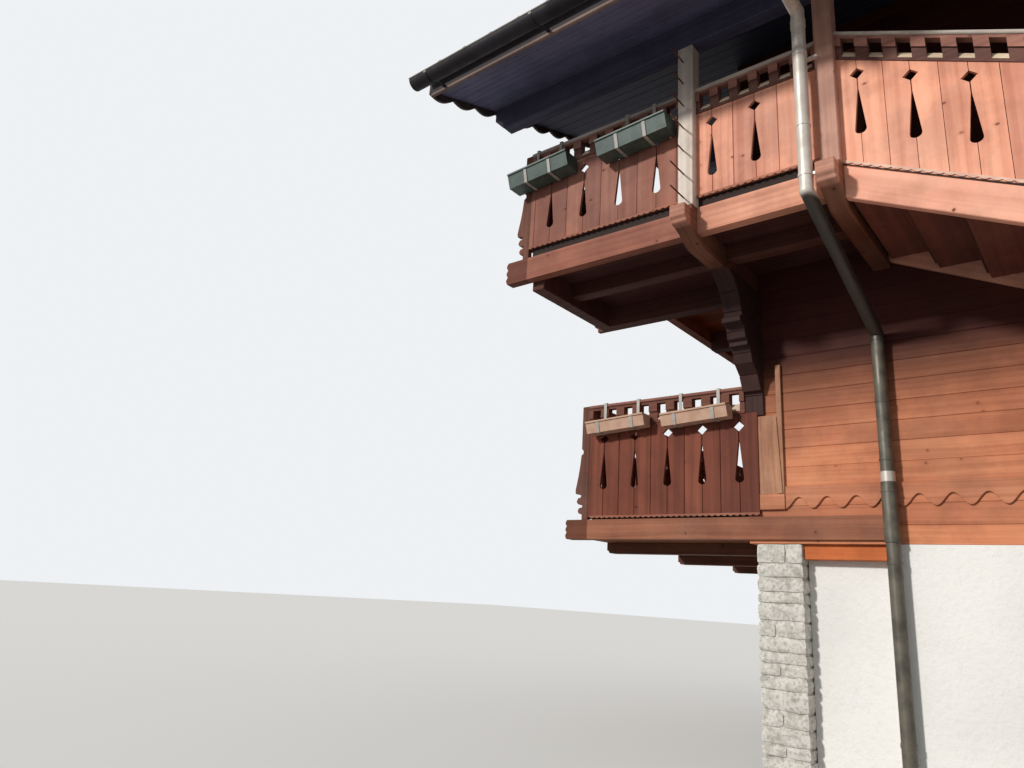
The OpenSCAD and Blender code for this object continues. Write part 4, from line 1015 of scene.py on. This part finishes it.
# The gutter's outer bead is painted light, a painted sheen along its lip.
away = place.part(Y)
away = away.node("Math", {"operation": "ABSOLUTE"}, {0: away})
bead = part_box("gutters")[1].y - BEAD_EDGE
plug(shader, blend_tints(away.step(bead - BEAD_FADE, bead), tint, srgb(150, 144, 136)))
for name, piece, made in (("gutters", "eave_gutters", gutter_sheet),
                          ("downpipes", "rain_pipes", pipe_sheet)):
    bm = merged([name])
    flatten(bm, 0.5)
    place_mesh(bm, piece, made, [name], smooth=32)


# Windows and doors: stained frames set back in the logs, with glazing bars and panes; the
# doors are of upright boards with a lever handle and two strap hinges of forged iron.
frame_stain = timber("frame_stain", (132, 80, 56), (92, 54, 40), (140, 118, 100),
                     weather=0.15, knots=0.0, rough=0.5)
wrought("window_joinery", ["window_frames"], frame_stain, arris=0.004)
boarded("door_leaves", "doors", frame_stain, width=0.11, gap=0.0, arris=0.005)
iron, shader, place = finish("forged_iron", 0.5, 0.8)
plug(shader, blend_tints(place.noise(14.0, 4.0).step(0.35, 0.7), srgb(52, 50, 50),
                         srgb(84, 80, 76)))
relief(shader, place.noise(60.0, 2.0), 0.0008)
LEVER = ((0.055, 0.095, 0.93, 1.17, 0.0, 0.004),
         (0.066, 0.084, 1.045, 1.063, 0.004, 0.035),
         (0.066, 0.190, 1.045, 1.063, 0.024, 0.036),
         (0.068, 0.082, 0.965, 0.992, 0.004, 0.007))
HINGE = ((0.38, 0.885, 0.0, 0.045, 0.0, 0.006),
         (0.875, 0.893, -0.012, 0.057, 0.0, 0.018))
HINGE_FEET = (0.28, 1.62)


def fitted(bm, door, irons, foot=0.0):
    """Irons on the face of a door, each a plate by its run along the door, its heights over
    the foot and its depths off the face."""
    low, high, run = door
    deep = 1 - run
    face = max(low[deep], high[deep], key=abs)
    out = math.copysign(1.0, face)
    for a, b, z0, z1, d0, d1 in irons:
        corner = [[0.0, 0.0, low.z + foot + z0], [0.0, 0.0, low.z + foot + z1]]
        corner[0][run], corner[1][run] = low[run] + a, low[run] + b
        corner[0][deep], corner[1][deep] = sorted((face + out * d0, face + out * d1))
        block(bm, *corner)


bm = bmesh.new()
leaves = merged(["doors"])
for part in islands(leaves):
    fitted(bm, extent(part), LEVER)
    for foot in HINGE_FEET:
        fitted(bm, extent(part), HINGE, foot)
leaves.free()
ease(bm, 0.0015)
place_mesh(bm, "door_irons", iron)
pane, shader, place = finish("pane", 0.03)
dust = place.noise(5.0, 5.0, 0.6).step(0.45, 0.75)
plug(shader, blend_tints(dust, srgb(34, 40, 44), srgb(58, 64, 66)))
gloss(shader, dust, 0.02, 0.09)
shader.inputs["Alpha"].default_value = 0.6
coat(nodes["window_glass"], pane)


# Flower boxes: green painted troughs above, terracotta coloured ones below, hung on flat
# steel straps over the handrail and filled with earth to just under the rim.
def paint(name, fresh, faded, rough):
    made, shader, place = finish(name, rough)
    cloud = place.noise(9.0, 5.0, 0.6).step(0.35, 0.7)
    chalk = place.stretched((18.0, 18.0, 3.0)).noise(1.0, 4.0).step(0.5, 0.75)
    plug(shader, blend_tints(cloud * 0.6 + chalk * 0.4, fresh, faded))
    relief(shader, place.noise(70.0, 3.0), 0.0008)
    return made


green = paint("green_paint", srgb(48, 66, 60), srgb(74, 96, 88), 0.45)
clay = paint("box_clay", srgb(200, 164, 142), srgb(174, 136, 114), 0.8)
strap_steel = paint("strap_steel", srgb(176, 172, 166), srgb(134, 128, 122), 0.5)
earth = paint("earth", srgb(62, 46, 36), srgb(38, 29, 24), 0.95)
STRAP = 0.016
EARTH_WIDE = 0.2
EARTH_FOOT, EARTH_TOP = 0.07, 0.1
for name, piece, made, slot, spread in (
        ("flower_boxes_up", "troughs_up", green, "green_paint", 0.2),
        ("flower_boxes_low", "troughs_low", clay, "terracotta", 0.29)):
    bm = merged([name])
    flatten(bm, 1.0)
    for part in islands(bm):
        low, high, run = extent(part)
        middle, length = (low + high)[run] / 2, (high - low)[run]
        for face in part:
            spot = face.calc_center_bounds()
            hold = min(abs(spot[run] - middle - side * spread * length) for side in (-1, 1))
            wide = max(abs(v.co[run] - spot[run]) for v in face.verts)
            if hold < STRAP and wide < STRAP + 0.002:
                face.material_index = 2
            elif (face.normal.z > 0.95 and wide > EARTH_WIDE
                  and low.z + EARTH_FOOT < spot.z < high.z - EARTH_TOP):
                face.material_index = 1
    box = place_mesh(bm, piece, made, [name])
    box.data.materials.append(earth)
    box.data.materials.append(strap_steel)


# Studio: a pale floor under a pale sky and a low, soft sun. Floor and sky show pale to the
# eye, and light the house at a plain level.
FLOOR_SEEN, FLOOR_LIT = (0.80, 0.80, 0.79), (0.30, 0.30, 0.29)
FLOOR_REACH = 90.0
FLOOR_DROP = 0.002
SKY_SEEN, SKY_LIT = (0.86, 0.88, 0.90), (1.0, 1.0, 1.0)
SKY_LEVEL = 0.50
SUN_LEVEL = 2.7
SUN_TINT = (1.0, 0.97, 0.92)
SUN_SPREAD = 5.0
SUN_WAY = (0.35, 0.85, -0.42)


def seen_or_lit(tree, seen, lit, shader_kind, strength=None):
    """Shows one colour to the eye, to gloss and through glass, and lights with another."""
    wire = Wire(tree, None)
    path = {key: wire.node("LightPath", out=out)
            for key, out in (("eye", 0), ("gloss", 3), ("glass", 6))}
    share = path["eye"].math("MAXIMUM", path["eye"], path["gloss"])
    share = share.math("MAXIMUM", share, path["glass"])
    a, b = ({"Color": (*c, 1.0)} for c in (lit, seen))
    if strength:
        a["Strength"], b["Strength"] = strength, 1.0
    return share.node("MixShader", None, {0: share, 1: wire.node(shader_kind, None, a),
                                          2: wire.node(shader_kind, None, b)})


bm = bmesh.new()
bmesh.ops.create_grid(bm, x_segments=1, y_segments=1, size=FLOOR_REACH)
bmesh.ops.translate(bm, verts=bm.verts, vec=(0, 0, -FLOOR_DROP))
mesh = bpy.data.meshes.new("floor")
bm.to_mesh(mesh)
bm.free()
floor = bpy.data.objects.new("floor", mesh)
bpy.context.scene.collection.objects.link(floor)
ground = bpy.data.materials.new("studio_floor")
ground.use_nodes = True
tree = ground.node_tree
tree.nodes.remove(tree.nodes["Principled BSDF"])
mixed = seen_or_lit(tree, FLOOR_SEEN, FLOOR_LIT, "BsdfDiffuse")
tree.links.new(mixed.socket, tree.nodes["Material Output"].inputs["Surface"])
coat(floor, ground)

world = bpy.data.worlds.new("studio")
bpy.context.scene.world = world
world.use_nodes = True
tree = world.node_tree
tree.nodes.remove(tree.nodes["Background"])
mixed = seen_or_lit(tree, SKY_SEEN, SKY_LIT, "Background", SKY_LEVEL)
tree.links.new(mixed.socket, tree.nodes["World Output"].inputs["Surface"])

sun = bpy.data.objects.new("sun", bpy.data.lights.new("sun", "SUN"))
sun.data.energy = SUN_LEVEL
sun.data.angle = math.radians(SUN_SPREAD)
sun.data.color = SUN_TINT
sun.rotation_euler = Vector(SUN_WAY).to_track_quat("-Z", "Y").to_euler()
bpy.context.scene.collection.objects.link(sun)

bpy.context.scene.view_settings.view_transform = "Standard"
